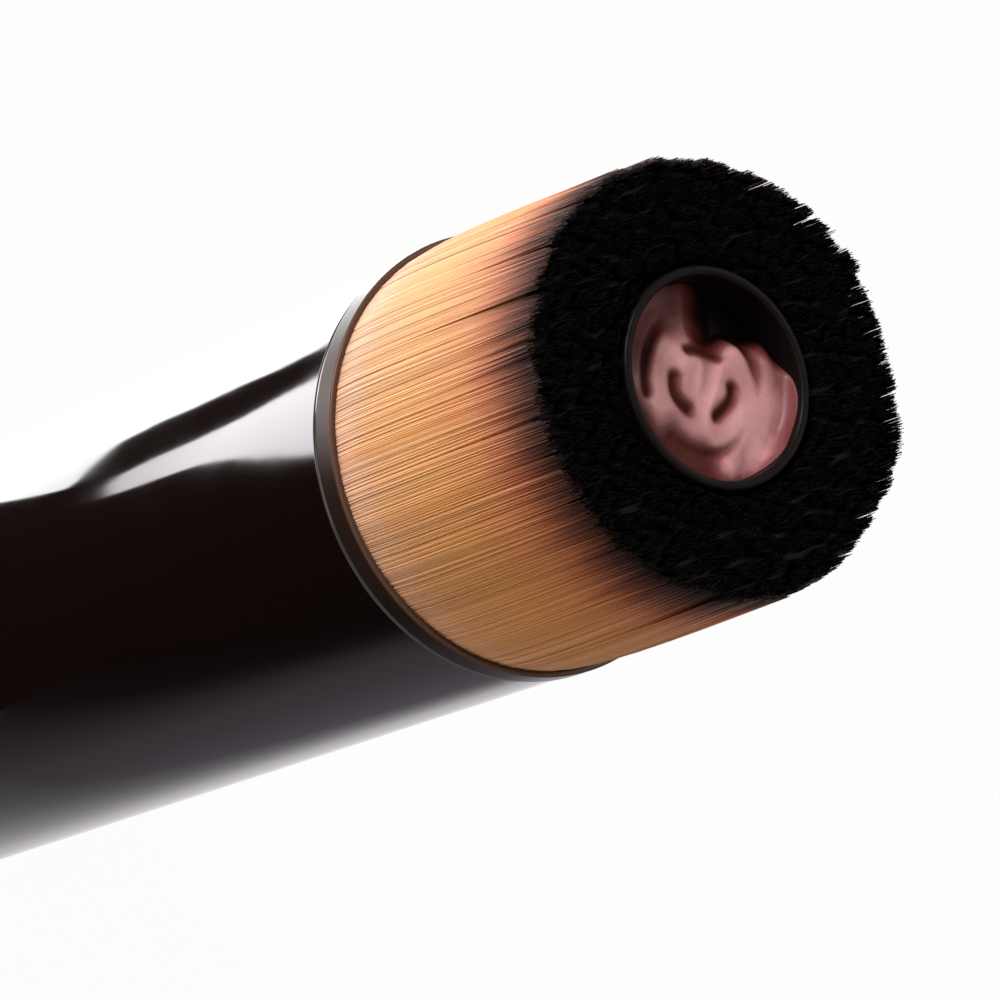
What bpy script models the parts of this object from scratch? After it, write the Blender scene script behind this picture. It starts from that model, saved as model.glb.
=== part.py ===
"""Foundation brush that feeds its own product, standing on its twist base with the bristles up.

Z runs up the brush's axis from the floor. Turning the base turns the drive sleeve and the two-flatted rod
in it. The rod's thread climbs through the fixed nut plate and pushes the piston up the cartridge, and the
product leaves through the feed tube, the valve and the slotted disc in the middle of the bristles. Sizes are
in metres.
"""

import math
import random

import bmesh
import bpy

# Driving sizes of the whole brush
BARREL_RADIUS = 0.0170
BARREL_WALL = 0.0013
TAIL_WALL = 0.0026
DIAL_HEIGHT = 0.0135
TUFT_EXPOSED = 0.0248
OUTLET_RADIUS = 0.0083
PISTON_TRAVEL = 0.0300
TRAVEL_TURNS = 6

# Clearances, shared by all fits
FIT_GAP = 0.0003
RUNNING_GAP = 0.0004
CUT_OVERRUN = 0.0010
EDGE_ROUND = 0.0003
WELD = 0.00001
FINE_STEPS = 40
ROUND_STEPS = 20
FLUTE_SIDES = 6
ARC_POINTS = 3
SMOOTH_BELOW_DEGREES = 35

# Foot pad and twist base
PAD_RADIUS = 0.0130
PAD_THICKNESS = 0.0014
PAD_PROUD = 0.0005
DIAL_FLOOR = 0.0020
DIAL_FOOT_ROUND = 0.0012
NECK_LENGTH = 0.0100
NECK_WALL = 0.0015
BOSS_HEIGHT = 0.0060
BOSS_WALL = 0.0016
FLUTE_COUNT = 18
FLUTE_RADIUS = 0.0011
FLUTE_DEPTH = 0.0003
FLUTE_MARGIN = 0.0024

# Snap ring that holds the neck in the barrel
SNAP_HEIGHT = 0.0012
SNAP_OUTER_BITE = 0.0006
SNAP_INNER_BITE = 0.0007
SNAP_PLACE = 0.0046
SNAP_OPENING = 0.0030

# Threaded rod and the sleeve that turns it
ROD_CORE_RADIUS = 0.0032
ROD_HALF_FLAT = 0.0024
RIDGE_RADIUS = 0.0012
RIDGE_SINK = 0.00015
RIDGE_POINTS_PER_TURN = 16
ROD_FLOOR_GAP = 0.0009
ROD_HEAD_RADIUS = 0.0040
ROD_HEAD_HEIGHT = 0.0025
ROD_NECK_HEIGHT = 0.0040
THREAD_END_GAP = 0.0040
SLEEVE_WALL = 0.0019
SLEEVE_GRIP = 0.0100
SLEEVE_SEAT_HEIGHT = 0.0012
SLEEVE_SEAT_WIDTH = 0.0012
KEY_WIDTH = 0.0016
KEY_REACH = 0.0009
KEY_HEIGHT = 0.0048

# Clicks: the toothed ring and the sprung collar
TOOTH_COUNT = 24
TOOTH_DEPTH = 0.0009
RATCHET_WALL = 0.0008
RATCHET_DEPTH = 0.0042
RATCHET_FLANGE = 0.0010
PAWL_HEIGHT = 0.0028
PAWL_DROP = 0.0014
PAWL_WALL = 0.0014
PAWL_ARM_WIDTH = 0.0008
PAWL_TIP_LENGTH = 0.0007
PAWL_ARM_SWEEP_TEETH = 7
PAWL_ARM_POINTS = 9

# Nut plate and cartridge
NUT_THICKNESS = 0.0040
NUT_SPIGOT = 0.0026
NUT_RIM_HEIGHT = 0.0026
NUT_RIM_WALL = 0.0012
CARTRIDGE_MARGIN = 0.0022
CARTRIDGE_WALL = 0.0012
SHOULDER_THICKNESS = 0.0015
NECK_HEIGHT = 0.0080
CARTRIDGE_NECK_WALL = 0.0009
TRAVEL_END_GAP = 0.0010
GASKET_THICKNESS = 0.0008
GASKET_MARGIN = 0.0005

# Piston and its two seals
PISTON_LENGTH = 0.0090
PISTON_SIDE_GAP = 0.0006
PISTON_LIFT = 0.0004
SEAL_THICKNESS = 0.0016
SEAL_SQUEEZE_GAP = 0.00025
SEAL_PLACE_SHARES = (0.27, 0.73)
SEAL_SIDES = 6

# Feed tube, outlet cup, disc and valve
FEED_RADIUS = 0.0030
FEED_WALL = 0.0012
CUP_WALL = 0.00075
CUP_LEDGE = 0.00065
CUP_WEB = 0.0015
RIM_BELOW_TIPS = 0.0001
WELL_DEPTH = 0.0045
DISC_THICKNESS = 0.0012
CHAMBER_HEIGHT = 0.0037
SLOT_WIDTH = 0.0008
SLOT_RADIUS_SHARES = (0.36, 0.72)
SLOT_TURN_SHARES = (0.19, 0.24)
SLOTS_PER_RING = 3
SLOT_POINTS = 6
VALVE_FLANGE = 0.0008
VALVE_DOME_RADIUS = 0.0026
VALVE_DOME_HEIGHT = 0.0026
VALVE_WALL = 0.0006
VALVE_SLIT = 0.0003
VALVE_SLIT_SHARE = 0.55

# Brush carrier, resin, trim ring and bristles
CARRIER_FLOOR = 0.0024
CARRIER_WALL = 0.0008
HUB_HEIGHT = 0.0060
RESIN_DEPTH = 0.0067
RESIN_PROUD = 0.0008
TRIM_HEIGHT = 0.0020
TRIM_PROUD = 0.00015
TRIM_WALL = 0.0005
TRIM_FLANGE = 0.0005
TRIM_REACH = 0.0015
BACKING_THICKNESS = 0.0008
TUFT_OUTLET_GAP = 0.0004
TUFT_SPREAD = 0.00025
TIP_DROP = 0.0009
TIP_VARIATION = 0.0003
SECTOR_COUNT = 8
STRAND_RINGS = 5
STRAND_COLUMNS = 8
STRAND_INSET = 0.00009
STRAND_TIP_SHARE = 0.82
TIP_ROUND_POWER = 6
STRAND_SEED = 11

# Heights, from the floor up
DIAL_BASE = PAD_PROUD
PAD_RECESS_TOP = PAD_THICKNESS + FIT_GAP
DIAL_FLOOR_TOP = PAD_RECESS_TOP + DIAL_FLOOR
DIAL_TOP = DIAL_BASE + DIAL_HEIGHT
BARREL_BASE = DIAL_TOP + RUNNING_GAP
SLEEVE_BASE = DIAL_FLOOR_TOP + FIT_GAP
ROD_BASE = DIAL_FLOOR_TOP + ROD_FLOOR_GAP
SLEEVE_TOP = ROD_BASE + PISTON_TRAVEL + SLEEVE_GRIP
NUT_BASE = SLEEVE_TOP + RUNNING_GAP
PAWL_BASE = NUT_BASE - PAWL_DROP - PAWL_HEIGHT
RATCHET_TOP = NUT_BASE - FIT_GAP
RATCHET_BASE = RATCHET_TOP - RATCHET_FLANGE - RATCHET_DEPTH
BARREL_SHOULDER = RATCHET_TOP - RATCHET_FLANGE - FIT_GAP
CARTRIDGE_BASE = NUT_BASE + NUT_THICKNESS + FIT_GAP
PISTON_BASE = NUT_BASE + NUT_THICKNESS + NUT_SPIGOT + PISTON_LIFT
PISTON_TOP = PISTON_BASE + PISTON_LENGTH
SHOULDER_UNDERSIDE = PISTON_TOP + PISTON_TRAVEL + TRAVEL_END_GAP
SHOULDER_TOP = SHOULDER_UNDERSIDE + SHOULDER_THICKNESS
GASKET_BASE = SHOULDER_TOP + FIT_GAP
CARRIER_BASE = GASKET_BASE + GASKET_THICKNESS + FIT_GAP
CARRIER_TOP = CARRIER_BASE + CARRIER_FLOOR
BARREL_TOP = CARRIER_TOP + RESIN_DEPTH
TRIM_BASE = BARREL_TOP + FIT_GAP
RESIN_TOP = BARREL_TOP + RESIN_PROUD
BACKING_BASE = TRIM_BASE + TRIM_FLANGE + FIT_GAP
BACKING_TOP = BACKING_BASE + BACKING_THICKNESS
TIP_HEIGHT = TRIM_BASE + TRIM_HEIGHT + TUFT_EXPOSED
CUP_RIM = TIP_HEIGHT - RIM_BELOW_TIPS
DISC_TOP = CUP_RIM - WELL_DEPTH
DISC_BASE = DISC_TOP - DISC_THICKNESS
CUP_LEDGE_TOP = DISC_BASE - FIT_GAP
WEB_TOP = CUP_LEDGE_TOP - CHAMBER_HEIGHT

# Radii, from the barrel inwards and from the rod outwards
BORE_RADIUS = BARREL_RADIUS - BARREL_WALL
TAIL_BORE_RADIUS = BARREL_RADIUS - TAIL_WALL
NECK_RADIUS = TAIL_BORE_RADIUS - RUNNING_GAP
INSERT_RADIUS = BORE_RADIUS - FIT_GAP
SNAP_OUTER_RADIUS = TAIL_BORE_RADIUS + SNAP_OUTER_BITE
SNAP_INNER_RADIUS = NECK_RADIUS - SNAP_INNER_BITE
ROD_CREST_RADIUS = ROD_CORE_RADIUS - RIDGE_SINK + RIDGE_RADIUS
SLEEVE_BORE_RADIUS = ROD_CREST_RADIUS + FIT_GAP
SLEEVE_RADIUS = SLEEVE_BORE_RADIUS + SLEEVE_WALL
BOSS_BORE_RADIUS = SLEEVE_RADIUS + FIT_GAP
PAWL_BORE_RADIUS = SLEEVE_RADIUS + FIT_GAP
NUT_BORE_RADIUS = ROD_CREST_RADIUS + RUNNING_GAP
RATCHET_RADIUS = TAIL_BORE_RADIUS - FIT_GAP
TOOTH_VALLEY_RADIUS = RATCHET_RADIUS - RATCHET_WALL
TOOTH_CREST_RADIUS = TOOTH_VALLEY_RADIUS - TOOTH_DEPTH
CARTRIDGE_RADIUS = BORE_RADIUS - CARTRIDGE_MARGIN
CARTRIDGE_BORE_RADIUS = CARTRIDGE_RADIUS - CARTRIDGE_WALL
PISTON_RADIUS = CARTRIDGE_BORE_RADIUS - PISTON_SIDE_GAP
FEED_BORE_RADIUS = FEED_RADIUS - FEED_WALL
FEED_SOCKET_RADIUS = FEED_RADIUS + FIT_GAP
CARTRIDGE_NECK_RADIUS = FEED_SOCKET_RADIUS + CARTRIDGE_NECK_WALL
NECK_HOLE_RADIUS = CARTRIDGE_NECK_RADIUS + FIT_GAP
CUP_BORE_RADIUS = OUTLET_RADIUS - CUP_WALL
HUB_RADIUS = CUP_BORE_RADIUS - FIT_GAP
HUB_BORE_RADIUS = HUB_RADIUS - CARRIER_WALL
TRIM_RADIUS = BARREL_RADIUS + TRIM_PROUD
TRIM_BORE_RADIUS = TRIM_RADIUS - TRIM_WALL
TUFT_RADIUS = TRIM_BORE_RADIUS - FIT_GAP
TUFT_BORE_RADIUS = OUTLET_RADIUS + TUFT_OUTLET_GAP

THREAD_LEAD = PISTON_TRAVEL / TRAVEL_TURNS


def clear_scene():
    for obj in list(bpy.data.objects):
        bpy.data.objects.remove(obj)


def collection(name):
    made = bpy.data.collections.new(name)
    bpy.context.scene.collection.children.link(made)
    return made


def finish(name, colour, roughness, metallic=0.0):
    made = bpy.data.materials.new(name)
    made.use_nodes = True
    shader = made.node_tree.nodes["Principled BSDF"]
    shader.inputs["Base Color"].default_value = (*colour, 1.0)
    shader.inputs["Roughness"].default_value = roughness
    shader.inputs["Metallic"].default_value = metallic
    made.diffuse_color = (*colour, 1.0)
    return made


clear_scene()
BRUSH = collection("foundation_brush")
CUTTERS = collection("cutters")


def empty(name, height):
    made = bpy.data.objects.new(name, None)
    made.location.z = height
    BRUSH.objects.link(made)
    return made


BARREL_FRAME = empty("barrel_frame", BARREL_BASE)
DIAL_PIVOT = empty("dial_pivot", DIAL_BASE)
PLUNGER_SLIDE = empty("plunger_slide", ROD_BASE)


def add_part(obj, base, parent, material):
    """Puts a part on its parent empty, with its own base at this height over the floor."""
    BRUSH.objects.link(obj)
    obj.parent = parent
    obj.location.z = base - parent.location.z
    obj.data.materials.append(material)
    return obj


def as_cutter(obj, base=0.0):
    CUTTERS.objects.link(obj)
    obj.location.z = base
    obj.hide_render = True
    obj.display_type = "WIRE"
    return obj


def boolean(obj, other, operation="DIFFERENCE"):
    modifier = obj.modifiers.new(other.name, "BOOLEAN")
    modifier.operation = operation
    modifier.solver = "EXACT"
    modifier.object = other


def arc(radius, height, size, start, end, points=ARC_POINTS):
    """Points of an arc in a profile, about (radius, height). Angles are in degrees from outwards to up."""
    turns = [math.radians(start + (end - start) * i / points) for i in range(points + 1)]
    return [(radius + size * math.cos(a), height + size * math.sin(a)) for a in turns]


def turned(name, profile, steps=ROUND_STEPS, ring=True):
    """A profile of (radius, height) turned about Z. It runs down its outer side, and a ring's closes."""
    mesh = bpy.data.meshes.new(name)
    links = [(i, i + 1) for i in range(len(profile) - 1)]
    if ring:
        links.append((len(profile) - 1, 0))
    mesh.from_pydata([(radius, 0, height) for radius, height in profile], links, [])
    obj = bpy.data.objects.new(name, mesh)
    screw = obj.modifiers.new("Turn", "SCREW")
    screw.steps = steps
    screw.render_steps = steps
    screw.use_merge_vertices = True
    screw.merge_threshold = WELD
    return obj


def prism(name, outlines, height):
    """Flat outlines raised by a height, as one mesh. Each outline runs once round its own body."""
    curve = bpy.data.curves.new(name, "CURVE")
    curve.dimensions = "2D"
    curve.fill_mode = "BOTH"
    curve.extrude = height / 2
    for outline in outlines:
        spline = curve.splines.new("POLY")
        spline.points.add(len(outline) - 1)
        spline.use_cyclic_u = True
        for point, (x, y) in zip(spline.points, outline):
            point.co = (x, y, 0, 1)
    return meshed(name, curve, height / 2)


def meshed(name, curve, lift=0.0):
    """The mesh object that a curve makes, welded, with its underside raised by lift."""
    source = bpy.data.objects.new(name + "_curve", curve)
    CUTTERS.objects.link(source)
    graph = bpy.context.evaluated_depsgraph_get()
    mesh = bpy.data.meshes.new_from_object(source.evaluated_get(graph))
    form = bmesh.new()
    form.from_mesh(mesh)
    bmesh.ops.remove_doubles(form, verts=form.verts, dist=WELD)
    bmesh.ops.translate(form, verts=form.verts, vec=(0, 0, lift))
    bmesh.ops.recalc_face_normals(form, faces=form.faces)
    form.to_mesh(mesh)
    form.free()
    bpy.data.objects.remove(source)
    mesh.name = name
    return bpy.data.objects.new(name, mesh)


def helix(name, radius, thickness, low, high, phase):
    """A right-hand V ridge from low to high, which stands over phase at angle zero."""
    first = round((low - phase) / THREAD_LEAD * RIDGE_POINTS_PER_TURN)
    last = round((high - phase) / THREAD_LEAD * RIDGE_POINTS_PER_TURN)
    curve = bpy.data.curves.new(name, "CURVE")
    curve.dimensions = "3D"
    curve.bevel_depth = thickness
    curve.bevel_resolution = 0
    curve.use_fill_caps = True
    spline = curve.splines.new("POLY")
    spline.points.add(last - first)
    for point, step in zip(spline.points, range(first, last + 1)):
        turn = step / RIDGE_POINTS_PER_TURN
        angle = math.tau * turn
        height = phase + THREAD_LEAD * turn
        point.co = (radius * math.cos(angle), radius * math.sin(angle), height, 1)
    return as_cutter(meshed(name, curve))


def box(name, low, high):
    """A block between two corners."""
    mesh = bpy.data.meshes.new(name)
    form = bmesh.new()
    bmesh.ops.create_cube(form, size=1.0)
    for vertex in form.verts:
        for axis in range(3):
            vertex.co[axis] = high[axis] if vertex.co[axis] > 0 else low[axis]
    form.to_mesh(mesh)
    form.free()
    return bpy.data.objects.new(name, mesh)


def polar(radius, angle):
    return radius * math.cos(angle), radius * math.sin(angle)


def double_d(radius, half_flat):
    """A circle cut flat on both sides in X."""
    corner = math.acos(half_flat / radius)
    span = math.pi - 2 * corner
    count = ROUND_STEPS // 2
    side = [polar(radius, corner + span * i / count) for i in range(count + 1)]
    return side + [(-x, -y) for x, y in side]


def flute_cutter():
    mesh = bpy.data.meshes.new("flute_cutter")
    form = bmesh.new()
    depth = DIAL_HEIGHT - 2 * FLUTE_MARGIN
    centre_radius = BARREL_RADIUS + FLUTE_RADIUS - FLUTE_DEPTH
    for i in range(FLUTE_COUNT):
        made = bmesh.ops.create_cone(
            form,
            cap_ends=True,
            segments=FLUTE_SIDES,
            radius1=FLUTE_RADIUS,
            radius2=FLUTE_RADIUS,
            depth=depth,
        )
        x, y = polar(centre_radius, math.tau * i / FLUTE_COUNT)
        bmesh.ops.translate(form, verts=made["verts"], vec=(x, y, DIAL_HEIGHT / 2))
    form.to_mesh(mesh)
    form.free()
    return as_cutter(bpy.data.objects.new("flute_cutter", mesh), DIAL_BASE)


def make_foot_pad():
    profile = [(0, PAD_THICKNESS)]
    profile += [(PAD_RADIUS, PAD_THICKNESS)]
    profile += arc(PAD_RADIUS - EDGE_ROUND, EDGE_ROUND, EDGE_ROUND, 0, -90, 1)
    profile += [(0, 0)]
    obj = turned("foot_pad", profile, FINE_STEPS, ring=False)
    add_part(obj, 0, DIAL_PIVOT, finish("soft_pad", (0.02, 0.02, 0.02), 0.8))


def make_base_dial():
    """A cup with a stepped neck, which turns in the barrel's tail. A boss on its floor holds the sleeve."""
    floor = DIAL_FLOOR_TOP - DIAL_BASE
    recess = PAD_RECESS_TOP - DIAL_BASE
    recess_radius = PAD_RADIUS + FIT_GAP
    boss_radius = BOSS_BORE_RADIUS + BOSS_WALL
    boss_top = floor + BOSS_HEIGHT
    cavity_radius = NECK_RADIUS - NECK_WALL
    neck_top = DIAL_HEIGHT + NECK_LENGTH
    groove_low = BARREL_BASE + SNAP_PLACE - FIT_GAP - DIAL_BASE
    groove_high = groove_low + SNAP_HEIGHT + 2 * FIT_GAP
    groove_radius = SNAP_INNER_RADIUS - FIT_GAP
    profile = [(0, floor), (BOSS_BORE_RADIUS, floor), (BOSS_BORE_RADIUS, boss_top)]
    profile += [(boss_radius, boss_top), (boss_radius, floor), (cavity_radius, floor)]
    profile += [(cavity_radius, neck_top), (NECK_RADIUS, neck_top)]
    profile += [(NECK_RADIUS, groove_high), (groove_radius, groove_high)]
    profile += [(groove_radius, groove_low), (NECK_RADIUS, groove_low)]
    profile += [(NECK_RADIUS, DIAL_HEIGHT)]
    profile += arc(BARREL_RADIUS - EDGE_ROUND, DIAL_HEIGHT - EDGE_ROUND, EDGE_ROUND, 90, 0, 1)
    profile += arc(BARREL_RADIUS - DIAL_FOOT_ROUND, DIAL_FOOT_ROUND, DIAL_FOOT_ROUND, 0, -90)
    profile += [(recess_radius, 0), (recess_radius, recess), (0, recess)]
    obj = turned("base_dial", profile, FINE_STEPS, ring=False)
    add_part(obj, DIAL_BASE, DIAL_PIVOT, finish("dial_gloss", (0.008, 0.005, 0.004), 0.12))
    half_slot = KEY_WIDTH / 2 + FIT_GAP
    slot_reach = boss_radius + CUT_OVERRUN
    slot = box(
        "boss_slot_cutter",
        (-slot_reach, -half_slot, DIAL_FLOOR_TOP + FIT_GAP / 2),
        (slot_reach, half_slot, DIAL_FLOOR_TOP + BOSS_HEIGHT + CUT_OVERRUN),
    )
    boolean(obj, as_cutter(slot))
    boolean(obj, flute_cutter())


def make_barrel_shell():
    """One glossy tube. Its thicker tail holds the dial's neck, and the step over it carries the works."""
    top = BARREL_TOP - BARREL_BASE
    shoulder = BARREL_SHOULDER - BARREL_BASE
    groove_low = SNAP_PLACE - FIT_GAP
    groove_high = SNAP_PLACE + SNAP_HEIGHT + FIT_GAP
    groove_radius = SNAP_OUTER_RADIUS + FIT_GAP
    edge = BARREL_RADIUS - EDGE_ROUND
    profile = arc(edge, top - EDGE_ROUND, EDGE_ROUND, 90, 0, 1)
    profile += arc(edge, EDGE_ROUND, EDGE_ROUND, 0, -90, 1)
    profile += [(TAIL_BORE_RADIUS, 0), (TAIL_BORE_RADIUS, groove_low)]
    profile += [(groove_radius, groove_low), (groove_radius, groove_high)]
    profile += [(TAIL_BORE_RADIUS, groove_high), (TAIL_BORE_RADIUS, shoulder)]
    profile += [(BORE_RADIUS, shoulder), (BORE_RADIUS, top)]
    obj = turned("barrel_shell", profile, FINE_STEPS)
    add_part(obj, BARREL_BASE, BARREL_FRAME, finish("barrel_gloss", (0.008, 0.005, 0.004), 0.08))


def make_retaining_ring():
    """A sprung ring with a gap in it, half in the barrel's groove and half in the neck's."""
    profile = [(SNAP_OUTER_RADIUS, SNAP_HEIGHT), (SNAP_OUTER_RADIUS, 0)]
    profile += [(SNAP_INNER_RADIUS, 0), (SNAP_INNER_RADIUS, SNAP_HEIGHT)]
    base = BARREL_BASE + SNAP_PLACE
    obj = turned("retaining_ring", profile, FINE_STEPS)
    add_part(obj, base, BARREL_FRAME, finish("spring_steel", (0.5, 0.5, 0.52), 0.3, 1.0))
    gap = box(
        "snap_gap_cutter",
        (0, -SNAP_OPENING / 2, base - CUT_OVERRUN),
        (SNAP_OUTER_RADIUS + CUT_OVERRUN, SNAP_OPENING / 2, base + SNAP_HEIGHT + CUT_OVERRUN),
    )
    boolean(obj, as_cutter(gap))


def make_drive_sleeve():
    """Keyed in the dial's boss. Its two-flatted bore turns the rod and lets it slide."""
    length = SLEEVE_TOP - SLEEVE_BASE
    seat_top = PAWL_BASE - FIT_GAP - SLEEVE_BASE
    seat_radius = SLEEVE_RADIUS + SLEEVE_SEAT_WIDTH
    profile = [(SLEEVE_RADIUS, length), (SLEEVE_RADIUS, seat_top), (seat_radius, seat_top)]
    profile += [(seat_radius, seat_top - SLEEVE_SEAT_HEIGHT)]
    profile += [(SLEEVE_RADIUS, seat_top - SLEEVE_SEAT_HEIGHT), (SLEEVE_RADIUS, 0)]
    obj = turned("drive_sleeve", [(0, length)] + profile + [(0, 0)], ring=False)
    add_part(obj, SLEEVE_BASE, DIAL_PIVOT, finish("acetal", (0.75, 0.74, 0.7), 0.45))
    reach = BOSS_BORE_RADIUS + KEY_REACH
    keys = box(
        "sleeve_keys",
        (-reach, -KEY_WIDTH / 2, SLEEVE_BASE),
        (reach, KEY_WIDTH / 2, SLEEVE_BASE + KEY_HEIGHT),
    )
    boolean(obj, as_cutter(keys), "UNION")
    outline = double_d(SLEEVE_BORE_RADIUS, ROD_HALF_FLAT + FIT_GAP)
    bore = prism("sleeve_bore_cutter", [outline], length + 2 * CUT_OVERRUN)
    boolean(obj, as_cutter(bore, SLEEVE_BASE - CUT_OVERRUN))


def arm_outline(start_angle):
    """One pawl arm: a ribbon that swings out from the collar and ends in a point, in a tooth's valley."""
    root_radius = PAWL_BORE_RADIUS + PAWL_WALL / 2
    tip_radius = TOOTH_CREST_RADIUS - FIT_GAP - PAWL_ARM_WIDTH / 2
    sweep = PAWL_ARM_SWEEP_TEETH * math.tau / TOOTH_COUNT
    outer = []
    inner = []
    for i in range(PAWL_ARM_POINTS):
        share = i / (PAWL_ARM_POINTS - 1)
        eased = math.sin(share * math.pi / 2)
        radius = root_radius + (tip_radius - root_radius) * eased
        angle = start_angle + sweep * share
        outer.append(polar(radius + PAWL_ARM_WIDTH / 2, angle))
        inner.append(polar(radius - PAWL_ARM_WIDTH / 2, angle))
    end_angle = start_angle + sweep
    point = polar(tip_radius + PAWL_ARM_WIDTH / 2 + PAWL_TIP_LENGTH, end_angle)
    return outer + [point] + inner[::-1]


def make_click_pawl():
    """A collar on the sleeve with two springy arms. Each arm's tip lies in a valley of the ratchet ring."""
    outer = PAWL_BORE_RADIUS + PAWL_WALL
    profile = [(outer, PAWL_HEIGHT), (outer, 0)]
    profile += [(PAWL_BORE_RADIUS, 0), (PAWL_BORE_RADIUS, PAWL_HEIGHT)]
    obj = turned("click_pawl", profile)
    add_part(obj, PAWL_BASE, DIAL_PIVOT, finish("acetal_dark", (0.12, 0.12, 0.12), 0.5))
    for name, start in (("pawl_arm_a", 0), ("pawl_arm_b", math.pi)):
        arm = prism(name, [arm_outline(start)], PAWL_HEIGHT)
        boolean(obj, as_cutter(arm, PAWL_BASE), "UNION")


def make_ratchet_ring():
    """Fixed teeth. Its flange is trapped between the barrel's step and the nut plate."""
    height = RATCHET_TOP - RATCHET_BASE
    step = height - RATCHET_FLANGE
    rough_bore = TOOTH_CREST_RADIUS - TOOTH_DEPTH / 2
    profile = [(INSERT_RADIUS, height), (INSERT_RADIUS, step), (RATCHET_RADIUS, step)]
    profile += [(RATCHET_RADIUS, 0), (rough_bore, 0), (rough_bore, height)]
    obj = turned("ratchet_ring", profile, 2 * TOOTH_COUNT)
    add_part(obj, RATCHET_BASE, BARREL_FRAME, finish("acetal_white", (0.8, 0.8, 0.78), 0.4))
    outline = []
    for i in range(TOOTH_COUNT):
        outline.append(polar(TOOTH_VALLEY_RADIUS, math.tau * i / TOOTH_COUNT))
        outline.append(polar(TOOTH_CREST_RADIUS, math.tau * (i + 1 / 2) / TOOTH_COUNT))
    teeth = prism("teeth_cutter", [outline], height + 2 * CUT_OVERRUN)
    boolean(obj, as_cutter(teeth, RATCHET_BASE - CUT_OVERRUN))


def thread_phase():
    """Height of the rod's ridge at angle zero, at the foot of its thread."""
    return ROD_BASE + THREAD_END_GAP


def make_plunger_rod():
    """A rod with a V ridge round it and two flats along it. Its round head is trapped in the piston."""
    head_top = PISTON_BASE + ROD_NECK_HEIGHT + ROD_HEAD_HEIGHT - ROD_BASE
    head_low = PISTON_BASE + ROD_NECK_HEIGHT - ROD_BASE
    profile = [(0, head_top)]
    profile += arc(ROD_HEAD_RADIUS - EDGE_ROUND, head_top - EDGE_ROUND, EDGE_ROUND, 90, 0, 1)
    profile += [(ROD_HEAD_RADIUS, head_low), (ROD_CORE_RADIUS, head_low)]
    profile += [(ROD_CORE_RADIUS, 0), (0, 0)]
    obj = turned("plunger_rod", profile, ring=False)
    add_part(obj, ROD_BASE, PLUNGER_SLIDE, finish("rod_plastic", (0.7, 0.7, 0.68), 0.4))
    thread_top = PISTON_BASE - RIDGE_RADIUS
    ridge = helix(
        "rod_ridge",
        ROD_CORE_RADIUS - RIDGE_SINK,
        RIDGE_RADIUS,
        thread_phase(),
        thread_top,
        thread_phase(),
    )
    boolean(obj, ridge, "UNION")
    reach = ROD_CREST_RADIUS + CUT_OVERRUN
    for name, side in (("rod_flat_left", -1), ("rod_flat_right", 1)):
        near, far = sorted((side * ROD_HALF_FLAT, side * reach))
        flat = box(
            name,
            (near, -reach, ROD_BASE - CUT_OVERRUN),
            (far, reach, PISTON_BASE),
        )
        boolean(obj, as_cutter(flat))


def make_nut_plate():
    """Closes the cartridge's lower end. The ridge in its bore runs between two turns of the rod's."""
    rim_bore = CARTRIDGE_RADIUS + FIT_GAP
    rim_radius = rim_bore + NUT_RIM_WALL
    rim_top = NUT_THICKNESS + NUT_RIM_HEIGHT
    spigot_radius = CARTRIDGE_BORE_RADIUS - FIT_GAP
    spigot_top = NUT_THICKNESS + NUT_SPIGOT
    profile = [(rim_radius, rim_top), (rim_radius, NUT_THICKNESS), (INSERT_RADIUS, NUT_THICKNESS)]
    profile += [(INSERT_RADIUS, 0), (NUT_BORE_RADIUS, 0), (NUT_BORE_RADIUS, spigot_top)]
    profile += [(spigot_radius, spigot_top), (spigot_radius, NUT_THICKNESS)]
    profile += [(rim_bore, NUT_THICKNESS), (rim_bore, rim_top)]
    obj = turned("nut_plate", profile)
    add_part(obj, NUT_BASE, BARREL_FRAME, finish("nut_plastic", (0.6, 0.6, 0.6), 0.4))
    ridge = helix(
        "nut_ridge",
        NUT_BORE_RADIUS + RIDGE_SINK,
        RIDGE_RADIUS,
        NUT_BASE + RIDGE_RADIUS,
        NUT_BASE + spigot_top - RIDGE_RADIUS,
        thread_phase() + THREAD_LEAD / 2,
    )
    boolean(obj, ridge, "UNION")


def make_cartridge():
    """The reservoir: a tube with a flat shoulder, and a neck in which the feed tube stands."""
    underside = SHOULDER_UNDERSIDE - CARTRIDGE_BASE
    shoulder = SHOULDER_TOP - CARTRIDGE_BASE
    top = shoulder + NECK_HEIGHT
    profile = [(CARTRIDGE_NECK_RADIUS, top), (CARTRIDGE_NECK_RADIUS, shoulder)]
    profile += arc(CARTRIDGE_RADIUS - EDGE_ROUND, shoulder - EDGE_ROUND, EDGE_ROUND, 90, 0, 1)
    profile += [(CARTRIDGE_RADIUS, 0), (CARTRIDGE_BORE_RADIUS, 0)]
    profile += [(CARTRIDGE_BORE_RADIUS, underside), (FEED_BORE_RADIUS, underside)]
    profile += [(FEED_BORE_RADIUS, shoulder), (FEED_SOCKET_RADIUS, shoulder)]
    profile += [(FEED_SOCKET_RADIUS, top)]
    obj = turned("cartridge", profile)
    add_part(obj, CARTRIDGE_BASE, BARREL_FRAME, finish("cartridge_milky", (0.8, 0.78, 0.76), 0.25))


def make_cartridge_gasket():
    outer = CARTRIDGE_RADIUS - GASKET_MARGIN
    profile = [(outer, GASKET_THICKNESS), (outer, 0)]
    profile += [(NECK_HOLE_RADIUS, 0), (NECK_HOLE_RADIUS, GASKET_THICKNESS)]
    obj = turned("cartridge_gasket", profile)
    add_part(obj, GASKET_BASE, BARREL_FRAME, finish("gasket_rubber", (0.05, 0.05, 0.05), 0.7))


def seal_heights():
    return [PISTON_LENGTH * share for share in SEAL_PLACE_SHARES]


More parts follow.
